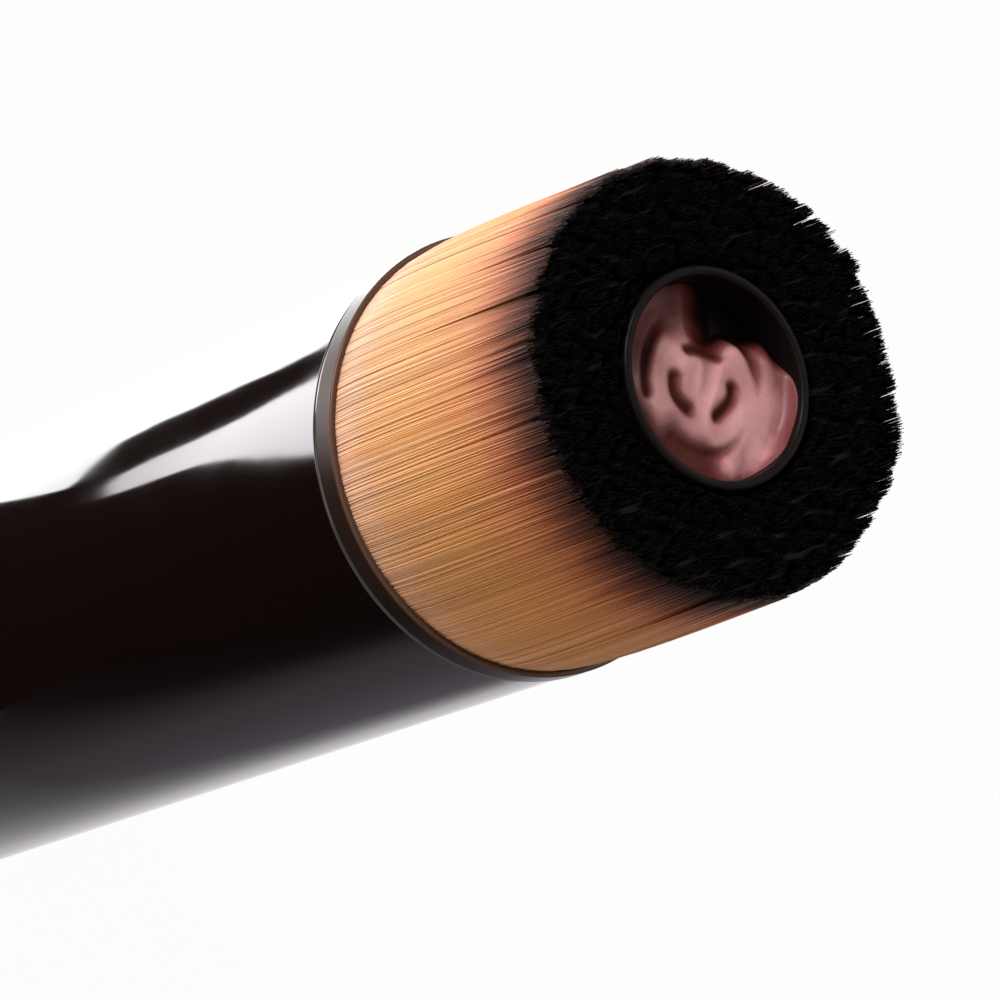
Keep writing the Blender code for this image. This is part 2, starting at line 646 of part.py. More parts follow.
def make_piston():
    """Two grooves for the seals, and a socket that snaps over the rod's head."""
    groove_half = SEAL_THICKNESS / 2 + FIT_GAP
    groove_radius = CARTRIDGE_BORE_RADIUS - SEAL_SQUEEZE_GAP - SEAL_THICKNESS - FIT_GAP
    socket_radius = ROD_CORE_RADIUS + FIT_GAP
    chamber_radius = ROD_HEAD_RADIUS + FIT_GAP
    chamber_low = ROD_NECK_HEIGHT - FIT_GAP
    chamber_top = ROD_NECK_HEIGHT + ROD_HEAD_HEIGHT + FIT_GAP
    profile = [(0, PISTON_LENGTH), (PISTON_RADIUS, PISTON_LENGTH)]
    for place in reversed(seal_heights()):
        profile += [(PISTON_RADIUS, place + groove_half), (groove_radius, place + groove_half)]
        profile += [(groove_radius, place - groove_half), (PISTON_RADIUS, place - groove_half)]
    profile += [(PISTON_RADIUS, 0), (socket_radius, 0), (socket_radius, chamber_low)]
    profile += [(chamber_radius, chamber_low), (chamber_radius, chamber_top), (0, chamber_top)]
    obj = turned("piston", profile, ring=False)
    add_part(obj, PISTON_BASE, PLUNGER_SLIDE, finish("piston_plastic", (0.75, 0.75, 0.75), 0.35))


def make_piston_seal(name, place):
    minor = SEAL_THICKNESS / 2
    bpy.ops.mesh.primitive_torus_add(
        major_radius=CARTRIDGE_BORE_RADIUS - SEAL_SQUEEZE_GAP - minor,
        minor_radius=minor,
        major_segments=ROUND_STEPS,
        minor_segments=SEAL_SIDES,
    )
    obj = bpy.context.active_object
    obj.name = name
    for holder in obj.users_collection:
        holder.objects.unlink(obj)
    base = PISTON_BASE + place
    add_part(obj, base, PLUNGER_SLIDE, finish("seal_rubber", (0.04, 0.04, 0.04), 0.6))


def make_brush_carrier():
    """A disc with a hub on it. The disc carries the bristles' resin, and the outlet cup sits over the hub."""
    top = CARRIER_FLOOR + HUB_HEIGHT
    profile = [(HUB_RADIUS, top), (HUB_RADIUS, CARRIER_FLOOR), (INSERT_RADIUS, CARRIER_FLOOR)]
    profile += [(INSERT_RADIUS, 0), (NECK_HOLE_RADIUS, 0), (NECK_HOLE_RADIUS, CARRIER_FLOOR)]
    profile += [(HUB_BORE_RADIUS, CARRIER_FLOOR), (HUB_BORE_RADIUS, top)]
    obj = turned("brush_carrier", profile)
    add_part(obj, CARRIER_BASE, BARREL_FRAME, finish("carrier_plastic", (0.05, 0.05, 0.05), 0.4))


def make_resin_bed():
    """The cast ring that bonds the bristles' roots, between the outlet cup and the barrel."""
    inner = OUTLET_RADIUS + FIT_GAP
    base = CARRIER_TOP + FIT_GAP
    height = RESIN_TOP - base
    profile = [(INSERT_RADIUS, height), (INSERT_RADIUS, 0), (inner, 0), (inner, height)]
    obj = turned("resin_bed", profile)
    add_part(obj, base, BARREL_FRAME, finish("resin", (0.25, 0.15, 0.07), 0.3))


def make_trim_ring():
    """The thin metal ring at the tuft's foot. Its flange lies on the barrel's end."""
    edge = TRIM_RADIUS - EDGE_ROUND
    flange_bore = TRIM_RADIUS - TRIM_REACH
    profile = arc(edge, TRIM_HEIGHT - EDGE_ROUND, EDGE_ROUND, 90, 0, 1)
    profile += [(TRIM_RADIUS, 0), (flange_bore, 0), (flange_bore, TRIM_FLANGE)]
    profile += [(TRIM_BORE_RADIUS, TRIM_FLANGE), (TRIM_BORE_RADIUS, TRIM_HEIGHT)]
    obj = turned("trim_ring", profile, FINE_STEPS)
    add_part(obj, TRIM_BASE, BARREL_FRAME, finish("trim_metal", (0.03, 0.028, 0.03), 0.25, 1.0))


def make_feed_tube():
    base = SHOULDER_TOP + FIT_GAP
    height = WEB_TOP - base
    profile = [(FEED_RADIUS, height), (FEED_RADIUS, 0)]
    profile += [(FEED_BORE_RADIUS, 0), (FEED_BORE_RADIUS, height)]
    obj = turned("feed_tube", profile)
    add_part(obj, base, BARREL_FRAME, finish("feed_plastic", (0.8, 0.8, 0.8), 0.3))


def make_outlet_cup():
    """One tube from the carrier's disc to the bristle tips. A web holds the feed tube, a ledge the disc."""
    base = CARRIER_TOP + FIT_GAP
    rim = CUP_RIM - base
    web_top = WEB_TOP - base
    web_low = web_top - CUP_WEB
    ledge = CUP_LEDGE_TOP - base
    ledge_bore = CUP_BORE_RADIUS - CUP_LEDGE
    middle = OUTLET_RADIUS - CUP_WALL / 2
    profile = arc(middle, rim - CUP_WALL / 2, CUP_WALL / 2, 90, 0, 2)
    profile += [(OUTLET_RADIUS, 0), (CUP_BORE_RADIUS, 0), (CUP_BORE_RADIUS, web_low)]
    profile += [(FEED_SOCKET_RADIUS, web_low), (FEED_SOCKET_RADIUS, web_top)]
    profile += [(ledge_bore, web_top), (ledge_bore, ledge), (CUP_BORE_RADIUS, ledge)]
    profile += arc(middle, rim - CUP_WALL / 2, CUP_WALL / 2, 180, 90, 2)[:-1]
    obj = turned("outlet_cup", profile, FINE_STEPS)
    add_part(obj, base, BARREL_FRAME, finish("cup_smoke", (0.16, 0.12, 0.12), 0.1))


def slot_outline(radius, start, sweep):
    outer = []
    inner = []
    for i in range(SLOT_POINTS + 1):
        angle = start + sweep * i / SLOT_POINTS
        outer.append(polar(radius + SLOT_WIDTH / 2, angle))
        inner.append(polar(radius - SLOT_WIDTH / 2, angle))
    return outer + inner[::-1]


def make_outlet_disc():
    """The floor of the well, with two rings of curved slots that the product rises through."""
    radius = CUP_BORE_RADIUS - FIT_GAP
    profile = [(0, DISC_THICKNESS)]
    profile += arc(radius - EDGE_ROUND, DISC_THICKNESS - EDGE_ROUND, EDGE_ROUND, 90, 0, 1)
    profile += [(radius, 0), (0, 0)]
    obj = turned("outlet_disc", profile, ring=False)
    add_part(obj, DISC_BASE, BARREL_FRAME, finish("disc_pink", (0.36, 0.17, 0.16), 0.15))
    outlines = []
    for i, (place, turn) in enumerate(zip(SLOT_RADIUS_SHARES, SLOT_TURN_SHARES)):
        for k in range(SLOTS_PER_RING):
            start = math.tau * (k + i / 2) / SLOTS_PER_RING
            outlines.append(slot_outline(radius * place, start, math.tau * turn))
    slots = prism("slot_cutter", outlines, DISC_THICKNESS + 2 * CUT_OVERRUN)
    boolean(obj, as_cutter(slots, DISC_BASE - CUT_OVERRUN))


def make_outlet_valve():
    """A soft dome over the feed tube, with a slit that opens when product is pushed up."""
    outer = CUP_BORE_RADIUS - CUP_LEDGE - FIT_GAP
    dome = VALVE_FLANGE + VALVE_DOME_HEIGHT - VALVE_DOME_RADIUS
    inside = VALVE_DOME_RADIUS - VALVE_WALL
    base = WEB_TOP + FIT_GAP
    profile = arc(0, dome, VALVE_DOME_RADIUS, 90, 0)
    profile += [(VALVE_DOME_RADIUS, VALVE_FLANGE), (outer, VALVE_FLANGE), (outer, 0), (inside, 0)]
    profile += arc(0, dome, inside, 0, 90)
    profile[0] = (0, dome + VALVE_DOME_RADIUS)
    profile[-1] = (0, dome + inside)
    obj = turned("outlet_valve", profile, ring=False)
    add_part(obj, base, BARREL_FRAME, finish("silicone", (0.7, 0.68, 0.68), 0.5))
    reach = VALVE_DOME_RADIUS * VALVE_SLIT_SHARE
    slit = box(
        "slit_cutter",
        (-reach, -VALVE_SLIT / 2, base + dome),
        (reach, VALVE_SLIT / 2, base + dome + VALVE_DOME_RADIUS + CUT_OVERRUN),
    )
    boolean(obj, as_cutter(slit))


def sector_grid(form, middle):
    """The backing's top as a grid of cells, one for each strand. Its sides keep the gap to the next sector."""
    rows = []
    for i in range(STRAND_RINGS + 1):
        radius = TUFT_BORE_RADIUS + (TUFT_RADIUS - TUFT_BORE_RADIUS) * i / STRAND_RINGS
        half = math.pi / SECTOR_COUNT - math.asin(FIT_GAP / 2 / radius)
        row = []
        for j in range(STRAND_COLUMNS + 1):
            x, y = polar(radius, middle + half * (2 * j / STRAND_COLUMNS - 1))
            row.append(form.verts.new((x, y, BACKING_TOP)))
        rows.append(row)
    cells = []
    for low, high in zip(rows, rows[1:]):
        for j in range(STRAND_COLUMNS):
            cells.append(form.faces.new((low[j], high[j], high[j + 1], low[j + 1])))
    return cells


def tip_place(foot, chance):
    """Where a strand that stands at foot ends: a little outwards, and lower near the tuft's two edges."""
    radius = math.hypot(foot.x, foot.y)
    middle = (TUFT_RADIUS + TUFT_BORE_RADIUS) / 2
    offset = (radius - middle) / (TUFT_RADIUS - middle)
    spread = 1 + TUFT_SPREAD / TUFT_RADIUS
    height = TIP_HEIGHT - TIP_DROP * abs(offset) ** TIP_ROUND_POWER
    height += TIP_VARIATION * chance.uniform(-1, 1)
    return foot.x * spread, foot.y * spread, height


def make_tuft_sector(index, material):
    """Tapered strands on a slice of their resin backing, drawn up one from each cell."""
    name = f"tuft_sector_{index + 1}"
    chance = random.Random(STRAND_SEED + index)
    form = bmesh.new()
    cells = sector_grid(form, math.tau * (index + 1 / 2) / SECTOR_COUNT)
    backing = bmesh.ops.extrude_face_region(form, geom=cells, use_keep_orig=True)
    lower = [item for item in backing["geom"] if isinstance(item, bmesh.types.BMVert)]
    underside = [item for item in backing["geom"] if isinstance(item, bmesh.types.BMFace)]
    bmesh.ops.translate(form, verts=lower, vec=(0, 0, -BACKING_THICKNESS))
    bmesh.ops.dissolve_faces(form, faces=underside, use_verts=False)
    bmesh.ops.inset_individual(form, faces=cells, thickness=STRAND_INSET, use_even_offset=True)
    strands = bmesh.ops.extrude_discrete_faces(form, faces=cells)["faces"]
    for tip in strands:
        foot = tip.calc_center_median()
        x, y, height = tip_place(foot, chance)
        for vertex in tip.verts:
            vertex.co.x = x + (vertex.co.x - foot.x) * STRAND_TIP_SHARE
            vertex.co.y = y + (vertex.co.y - foot.y) * STRAND_TIP_SHARE
            vertex.co.z = height
    bmesh.ops.recalc_face_normals(form, faces=form.faces)
    mesh = bpy.data.meshes.new(name)
    form.to_mesh(mesh)
    form.free()
    add_part(bpy.data.objects.new(name, mesh), 0, BARREL_FRAME, material)


def smooth_round_parts():
    for obj in BRUSH.objects:
        if obj.type == "MESH" and not obj.name.startswith("tuft"):
            obj.data.shade_smooth()
            obj.data.set_sharp_from_angle(angle=math.radians(SMOOTH_BELOW_DEGREES))


make_foot_pad()
make_base_dial()
make_drive_sleeve()
make_click_pawl()
make_barrel_shell()
make_retaining_ring()
make_ratchet_ring()
make_nut_plate()
make_cartridge()
make_cartridge_gasket()
make_brush_carrier()
make_resin_bed()
make_trim_ring()
make_feed_tube()
make_outlet_cup()
make_outlet_disc()
make_outlet_valve()
bristle = finish("bristle", (0.55, 0.32, 0.13), 0.5)
for sector in range(SECTOR_COUNT):
    make_tuft_sector(sector, bristle)
make_plunger_rod()
make_piston()
for seal_name, seal_place in zip(("piston_seal_lower", "piston_seal_upper"), seal_heights()):
    make_piston_seal(seal_name, seal_place)
smooth_round_parts()
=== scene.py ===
"""Looks of the foundation brush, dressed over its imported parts. Sizes are in metres, up is +Z."""

import math

import bmesh
import bpy
import numpy as np
from mathutils import Matrix, Vector


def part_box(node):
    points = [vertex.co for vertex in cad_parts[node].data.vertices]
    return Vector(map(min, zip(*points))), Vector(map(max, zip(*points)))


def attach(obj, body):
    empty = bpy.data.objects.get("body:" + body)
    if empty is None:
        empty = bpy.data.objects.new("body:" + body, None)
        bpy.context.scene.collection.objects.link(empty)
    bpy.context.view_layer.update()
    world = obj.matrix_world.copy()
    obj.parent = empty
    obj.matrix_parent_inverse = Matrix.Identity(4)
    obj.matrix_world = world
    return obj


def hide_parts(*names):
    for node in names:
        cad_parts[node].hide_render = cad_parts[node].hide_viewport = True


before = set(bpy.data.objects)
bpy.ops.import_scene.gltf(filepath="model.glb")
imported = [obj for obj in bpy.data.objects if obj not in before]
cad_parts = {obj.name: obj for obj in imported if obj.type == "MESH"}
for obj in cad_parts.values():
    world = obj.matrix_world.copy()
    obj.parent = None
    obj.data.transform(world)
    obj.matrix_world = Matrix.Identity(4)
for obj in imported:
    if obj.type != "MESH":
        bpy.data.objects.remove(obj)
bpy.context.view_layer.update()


# Camera. A long lens looks down on the head from the front, and is rolled so that the brush lies from the
# lower left to the upper right of the picture. The trim ring's centre sits a little off the picture's.
TILT = math.radians(37.4)
ROLL = math.radians(20.6)
CAMERA_DISTANCE = 0.400
LENS_MM = 190.8
NEAREST_SEEN = 0.01
RING_RIGHT = 0.0005
RING_UP = 0.0031


def put_in_scene(name, data):
    """A new object of the scene."""
    made = bpy.data.objects.new(name, data)
    bpy.context.scene.collection.objects.link(made)
    return made


ring_low, ring_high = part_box("trim_ring")
ring_centre = Vector((0, 0, ring_low.z))
to_camera = Vector((0, -math.sin(TILT), math.cos(TILT)))
along = (Vector((0, 0, 1)) - math.cos(TILT) * to_camera) / math.sin(TILT)
across = to_camera.cross(along)
picture_right = math.cos(ROLL) * along - math.sin(ROLL) * across
picture_up = math.sin(ROLL) * along + math.cos(ROLL) * across

camera = put_in_scene("camera", bpy.data.cameras.new("camera"))
camera.data.lens = LENS_MM
camera.data.clip_start = NEAREST_SEEN
place = ring_centre - picture_right * RING_RIGHT - picture_up * RING_UP + to_camera * CAMERA_DISTANCE
axes = Matrix((picture_right, picture_up, to_camera)).transposed().to_4x4()
camera.matrix_world = Matrix.Translation(place) @ axes
bpy.context.scene.camera = camera


# Lamps and world. One large soft lamp stands over the brush's upper side in the picture, and two weaker
# ones open the shadows. The world is white behind the object, and dim and warm on it.
HEAD = Vector((0, 0, 0.110))
WORLD_DIM = (0.21, 0.145, 0.10, 1)
WORLD_WHITE = (1, 1, 1, 1)


def studio_lamp(name, place, size, power, colour):
    lamp = put_in_scene(name, bpy.data.lights.new(name, "AREA"))
    lamp.data.shape = "DISK"
    lamp.data.size = size
    lamp.data.energy = power
    lamp.data.color = colour
    lamp.location = place
    lamp.rotation_euler = (HEAD - Vector(place)).to_track_quat("-Z", "Y").to_euler()


def feed(node, inputs):
    """Sets a node's inputs. Each takes a plain value, or the output of another node."""
    for socket, value in inputs.items():
        if isinstance(value, bpy.types.NodeSocket):
            node.id_data.links.new(value, node.inputs[socket])
        else:
            node.inputs[socket].default_value = value


def add(tree, kind, inputs=None, **settings):
    """A new shader node with its settings and inputs."""
    made = tree.nodes.new("ShaderNode" + kind)
    for name, value in settings.items():
        setattr(made, name, value)
    feed(made, inputs or {})
    return made


def white_rays(tree):
    """One where the ray comes from the camera, a gloss or a clear piece, and nought elsewhere."""
    path = add(tree, "LightPath").outputs
    seen = add(tree, "Math", {0: path["Is Camera Ray"], 1: path["Is Glossy Ray"]}, operation="MAXIMUM")
    seen = add(tree, "Math", {0: seen.outputs[0], 1: path["Is Transmission Ray"]}, operation="MAXIMUM")
    return seen.outputs[0]


studio_lamp("key_lamp", (-0.775, -0.412, 0.50), 0.45, 11.0, (1.0, 0.95, 1.06))
studio_lamp("fill_lamp", (-0.30, -0.95, 0.45), 0.70, 2.2, (1.0, 0.86, 0.72))
studio_lamp("top_lamp", (0.00, 0.45, 1.00), 0.50, 1.8, (0.97, 0.98, 1.0))

world = bpy.data.worlds.new("studio")
bpy.context.scene.world = world
world.use_nodes = True
world_levels = {"Factor": white_rays(world.node_tree), "A": WORLD_DIM, "B": WORLD_WHITE}
world_mix = add(world.node_tree, "Mix", world_levels, data_type="RGBA")
feed(world.node_tree.nodes["Background"], {"Color": world_mix.outputs["Result"], "Strength": 1.0})
bpy.context.scene.view_settings.view_transform = "Standard"


# Floor. A plain white sweep just under the foot pad, which keeps the brush's soft shadow. Seen by the
# camera or in a gloss it is lifted to white, and on the object it is warm paper.
FLOOR_REACH = 3.0
FLOOR_DROP = 0.0001
FLOOR_LIFT = 0.97
FLOOR_PAPER = (0.82, 0.60, 0.42, 1)


def new_material(name):
    """A new material, and its node tree."""
    made = bpy.data.materials.new(name)
    made.use_nodes = True
    return made, made.node_tree


floor_mesh = bpy.data.meshes.new("floor")
floor_sides = [(-FLOOR_REACH, -FLOOR_REACH), (FLOOR_REACH, -FLOOR_REACH)]
floor_sides += [(FLOOR_REACH, FLOOR_REACH), (-FLOOR_REACH, FLOOR_REACH)]
floor_mesh.from_pydata([(x, y, -FLOOR_DROP) for x, y in floor_sides], [], [(0, 1, 2, 3)])
floor = put_in_scene("floor", floor_mesh)
floor_paper, tree = new_material("floor_paper")
tree.nodes.clear()
paper = add(tree, "BsdfDiffuse", {"Color": FLOOR_PAPER})
glow = add(tree, "Emission", {"Strength": 1.0})
lift = add(tree, "Math", {0: white_rays(tree), 1: FLOOR_LIFT}, operation="MULTIPLY")
paper_mix = add(tree, "MixShader", {"Fac": lift.outputs[0], 1: paper.outputs[0], 2: glow.outputs[0]})
add(tree, "OutputMaterial", {"Surface": paper_mix.outputs[0]})
floor_mesh.materials.append(floor_paper)


# Reflector cards. The barrel mirrors the floor round its foot, so cards that only gloss sees lie there: a
# dark one in front, and brighter ones whose edges draw the long highlights and the black line between them.
# Away from the foot they fade into the white floor.
CARD_LIFT = 0.0006
CARD_FADE = (0.104, 0.142)
DARK_CARD = ((-150, -150), (150, -150), (150, -49), (24, -36), (8, -14), (-20, -5), (-56, 6), (-150, 48))
DARK_LEVELS = ((0, 0.02),)
WEDGE_CARD = ((-50.8, -37.3), (-51.6, -39), (-55, -42.7), (-58.3, -46.8), (-58.4, -50.8), (-57.7, -55.6),
              (-53.9, -66.2), (-48.9, -78.1), (-38.5, -145), (-145, -145), (-145, 8), (-100, -19),
              (-86.3, -25), (-83.8, -26.2), (-78.4, -28.5), (-72.2, -31), (-66.7, -31.2), (-61.8, -29.9),
              (-56.5, -29.9), (-53.6, -32.3))
WEDGE_LEVELS = ((0.058, 4.0), (0.068, 6.5), (0.076, 9.0), (0.092, 9.5))
EDGE_CARD = ((-20, -5), (-45, -13), (-51.9, -23), (-54.3, -21.1), (-58, -14.4), (-60.7, -9.2),
             (-65.7, -6.6), (-70.8, -6.3), (-75.8, -4.5), (-81, -4), (-85.7, -0.8), (-87.6, 1.6),
             (-110, 14), (-140, 40), (-140, 150), (-20, 150))
EDGE_LEVELS = ((0, 7.0),)
LOW_CARD = ((20, -60), (140, -60), (140, 60), (20, 60))
LOW_LEVELS = ((-0.056, 0.02), (-0.044, 0.04), (-0.034, 0.17), (-0.022, 0.27), (0.060, 0.29))
FADE_CARD = ((20, -42), (90, 62.5), (90, 80), (20, 80))
FADE_LEVELS = ((-0.040, 0.29), (-0.034, 0.42), (-0.026, 0.70), (-0.018, 1.0))


def card_curve(tree, place, levels):
    """Brightness along a card, through (place, strength) points joined by straight lines."""
    places, strengths = zip(*levels)
    start = places[0]
    length = places[-1] - start or 1
    most = max(strengths)
    share = add(tree, "MapRange", {"Value": place, "From Min": start, "From Max": start + length})
    curve = add(tree, "FloatCurve", {"Value": share.outputs[0]})
    curve.mapping.use_clip = False
    points = curve.mapping.curves[0].points
    shares = [((at - start) / length, strength / most) for at, strength in levels]
    if len(shares) == 1:
        shares = [(0, 1), (1, 1)]
    while len(points) < len(shares):
        points.new(0.5, 0.5)
    for point, at_share in zip(points, shares):
        point.location = at_share
        point.handle_type = "VECTOR"
    curve.mapping.update()
    return add(tree, "Math", {0: curve.outputs[0], 1: most}, operation="MULTIPLY").outputs[0]


def reflector_card(name, corners, layer, levels, towards=(1, 0), tint=(1, 1, 1)):
    """A flat card just over the floor, its corners in millimetres. Its brightness changes one way only."""
    mesh = bpy.data.meshes.new(name)
    height = layer * CARD_LIFT
    mesh.from_pydata([(x / 1000, y / 1000, height) for x, y in corners], [], [tuple(range(len(corners)))])
    card = put_in_scene(name, mesh)
    finish, tree = new_material(name)
    tree.nodes.clear()
    spot = add(tree, "TexCoord").outputs["Object"]
    way = add(tree, "VectorMath", {0: spot, 1: (*towards, 0)}, operation="DOT_PRODUCT")
    bright = card_curve(tree, way.outputs["Value"], levels)
    far = add(tree, "VectorMath", {0: spot}, operation="LENGTH")
    reach = {"Value": far.outputs["Value"], "From Min": CARD_FADE[0], "From Max": CARD_FADE[1]}
    faded = add(tree, "MapRange", reach, interpolation_type="SMOOTHSTEP")
    fade = {"Factor": faded.outputs[0], "A": bright, "B": FLOOR_LIFT}
    strength = add(tree, "Mix", fade, data_type="FLOAT")
    light = add(tree, "Emission", {"Color": (*tint, 1), "Strength": strength.outputs["Result"]})
    add(tree, "OutputMaterial", {"Surface": light.outputs[0]})
    mesh.materials.append(finish)
    for ray in ("camera", "diffuse", "transmission", "shadow", "volume_scatter"):
        setattr(card, "visible_" + ray, False)


reflector_card("dark_card", DARK_CARD, 1, DARK_LEVELS)
reflector_card("wedge_card", WEDGE_CARD, 2, WEDGE_LEVELS, (-0.8, -0.6), (1.0, 0.95, 0.98))
reflector_card("edge_card", EDGE_CARD, 2, EDGE_LEVELS)
reflector_card("low_card", LOW_CARD, 2, LOW_LEVELS, (0, 1), (0.97, 0.86, 1.0))
reflector_card("fade_card", FADE_CARD, 3, FADE_LEVELS, (-0.83, 0.555), (0.99, 0.95, 1.0))


# Barrel. One injection-moulded tube, lacquered a brown so dark that it reads as black, with a polished
# skin. Its open end is pressed over the carrier, and the trim ring covers the joint. Its tail holds the
# base's neck.
BARREL_BORE = 0.0157
TAIL_BORE = 0.0144
TAIL_HEIGHT = 0.0432
TAIL_GROOVE = (0.0043, 0.0061, 0.0153)
EDGE = 0.0003
TINY = 0.00006
SECTION_STEPS = 224
CORNER_STEP = math.radians(20)
STRAIGHT = 0.02
SAME_POINT = 1e-7
MARK_SPREAD = (0.45, 0.75)
HANDLING_DEPTH = 0.0005
COAT_ROUGHNESS = 0.03


def handling_group():
    """Dust and faint marks in a handled piece's gloss, and the shallow waves that moulding leaves."""
    group = bpy.data.node_groups.new("handling", "ShaderNodeTree")
    for name, value in (("Roughness", 0.1), ("Smudge", 0.05), ("Mark Size", 90.0), ("Wave Size", 260.0)):
        socket = group.interface.new_socket(name, in_out="INPUT", socket_type="NodeSocketFloat")
        socket.default_value = value
    for name in ("Roughness", "Height"):
        group.interface.new_socket(name, in_out="OUTPUT", socket_type="NodeSocketFloat")
    entry = group.nodes.new("NodeGroupInput").outputs
    spot = add(group, "TexCoord").outputs["Object"]
    marks = add(group, "TexNoise", {"Vector": spot, "Scale": entry["Mark Size"], "Detail": 3})
    spread = add(group, "MapRange", {
        "Value": marks.outputs["Fac"], "From Min": MARK_SPREAD[0], "From Max": MARK_SPREAD[1]})
    smudged = add(group, "Math", {
        0: spread.outputs[0], 1: entry["Smudge"], 2: entry["Roughness"]}, operation="MULTIPLY_ADD")
    wave = add(group, "TexNoise", {"Vector": spot, "Scale": entry["Wave Size"], "Detail": 1})
    leave = group.nodes.new("NodeGroupOutput")
    feed(leave, {"Roughness": smudged.outputs[0], "Height": wave.outputs["Fac"]})
    return group


handling = handling_group()


def plastic(name, colour, roughness, smudge, coat=0.0, bump=0.02, specular=0.5, wave=260.0, metallic=0.0):
    """A moulded or plated finish with handling marks in its gloss."""
    made, tree = new_material(name)
    levels = {"Roughness": roughness, "Smudge": smudge, "Wave Size": wave}
    handled = add(tree, "Group", levels, node_tree=handling).outputs
    raised = add(tree, "Bump", {"Strength": bump, "Distance": HANDLING_DEPTH, "Height": handled["Height"]})
    feed(tree.nodes["Principled BSDF"], {
        "Base Color": (*colour, 1), "Roughness": handled["Roughness"], "Metallic": metallic,
        "Specular IOR Level": specular, "Coat Weight": coat, "Coat Roughness": COAT_ROUGHNESS,
        "Normal": raised.outputs["Normal"]})
    return made


def section_rows(corners, closed):
    """Rounds the corners of a section. They are (radius, height, rounding), and run down its outer side."""
    rows = []
    count = len(corners)
    for i, (radius, height, size) in enumerate(corners):
        if not closed and i in (0, count - 1):
            rows.append((radius, height))
            continue
        here = Vector((radius, height))
        back = (here - Vector(corners[i - 1][:2])).normalized()
        ahead = (Vector(corners[(i + 1) % count][:2]) - here).normalized()
        turn = math.atan2(back.x * ahead.y - back.y * ahead.x, back.dot(ahead))
        if size == 0 or abs(turn) < STRAIGHT:
            rows.append((radius, height))
            continue
        side = 1 if turn > 0 else -1
        start = here - back * size * math.tan(abs(turn) / 2)
        normal = Vector((-back.y, back.x))
        centre = start + normal * size * side
        points = max(2, math.ceil(abs(turn) / CORNER_STEP))
        for k in range(points + 1):
            spun = Matrix.Rotation(turn * k / points, 2) @ normal
            rows.append(tuple(centre - spun * size * side))
    return rows


def turned(name, corners, steps=SECTION_STEPS, closed=True, carve=None):
    """A section turned about the brush's axis. At each point its larger faces rule the shading."""
    rows = section_rows(corners, closed)
    angles = math.tau * np.arange(steps) / steps
    points = []
    for radius, height in rows:
        reach = np.full(steps, radius) if carve is None else carve(radius, height, angles)
        points.append(np.stack([reach * np.cos(angles), reach * np.sin(angles), np.full(steps, height)], 1))
    quads = []
    here, after = np.arange(steps), (np.arange(steps) + 1) % steps
    for i in range(len(rows) if closed else len(rows) - 1):
        a, b = i * steps, ((i + 1) % len(rows)) * steps
        quads.append(np.stack([a + here, b + here, b + after, a + after], 1))
    form = bmesh.new()
    made = [form.verts.new(point) for point in np.concatenate(points).tolist()]
    for quad in np.concatenate(quads).tolist():
        form.faces.new([made[v] for v in quad])
    bmesh.ops.remove_doubles(form, verts=form.verts, dist=SAME_POINT)
    bmesh.ops.dissolve_degenerate(form, edges=form.edges, dist=SAME_POINT)
    bmesh.ops.recalc_face_normals(form, faces=form.faces)
    form.verts.ensure_lookup_table()
    normals = []
    for vert in form.verts:
        pull = sum((face.normal * face.calc_area() for face in vert.link_faces), Vector())
        normals.append(pull.normalized())
    mesh = bpy.data.meshes.new(name)
    form.to_mesh(mesh)
    form.free()
    mesh.shade_smooth()
    mesh.normals_split_custom_set_from_vertices(normals)
    return put_in_scene(name, mesh)


def fit(piece, body, node, finish):
    """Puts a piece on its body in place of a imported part, with its finish."""
    piece.data.materials.append(finish)
    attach(piece, body)
    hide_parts(node)


barrel_low, barrel_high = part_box("barrel_shell")
barrel_radius = barrel_high.x
groove_low, groove_high = barrel_low.z + TAIL_GROOVE[0], barrel_low.z + TAIL_GROOVE[1]
barrel_corners = [(BARREL_BORE, barrel_high.z, TINY), (barrel_radius, barrel_high.z, EDGE)]
barrel_corners += [(barrel_radius, barrel_low.z, EDGE), (TAIL_BORE, barrel_low.z, EDGE)]
barrel_corners += [(TAIL_BORE, groove_low, TINY), (TAIL_GROOVE[2], groove_low, TINY)]
barrel_corners += [(TAIL_GROOVE[2], groove_high, TINY), (TAIL_BORE, groove_high, TINY)]
barrel_corners += [(TAIL_BORE, TAIL_HEIGHT, TINY), (BARREL_BORE, TAIL_HEIGHT, TINY)]
barrel_lacquer = plastic("barrel_lacquer", (0.0042, 0.0015, 0.0011), 0.06, 0.04, bump=0.008)
fit(turned("barrel", barrel_corners), "barrel", "barrel_shell", barrel_lacquer)


# Twist base. Moulded in the barrel's colour and lacquered with it, with shallow round-ended grip flutes.
# Its neck snaps into the barrel's tail, so only the part under the seam shows.
FLUTES = 18
FLUTE_STEPS = 32
FLUTE_RADIUS = 0.0011
FLUTE_DEPTH = 0.0003
FLUTE_MARGIN = 0.0021
FLUTE_SOFT = 0.00003
SKIN = 0.00002
DIAL_HEIGHT = 0.0135
DIAL_EDGE = 0.0012
WALL_ROWS = 36
WALL_ROW = 0.00029
NECK_RADIUS = 0.0140
NECK_BORE = 0.0125
NECK_GROOVE = (0.0182, 0.0200, 0.0130)
BOSS_RADIUS = 0.0083
BOSS_BORE = 0.0067
BOSS_HEIGHT = 0.0060
DIAL_FLOOR = 0.0032
PAD_SEAT = (0.0133, 0.0012)

dial_low, dial_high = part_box("base_dial")
neck_top = dial_high.z - dial_low.z
boss_top = DIAL_FLOOR + BOSS_HEIGHT


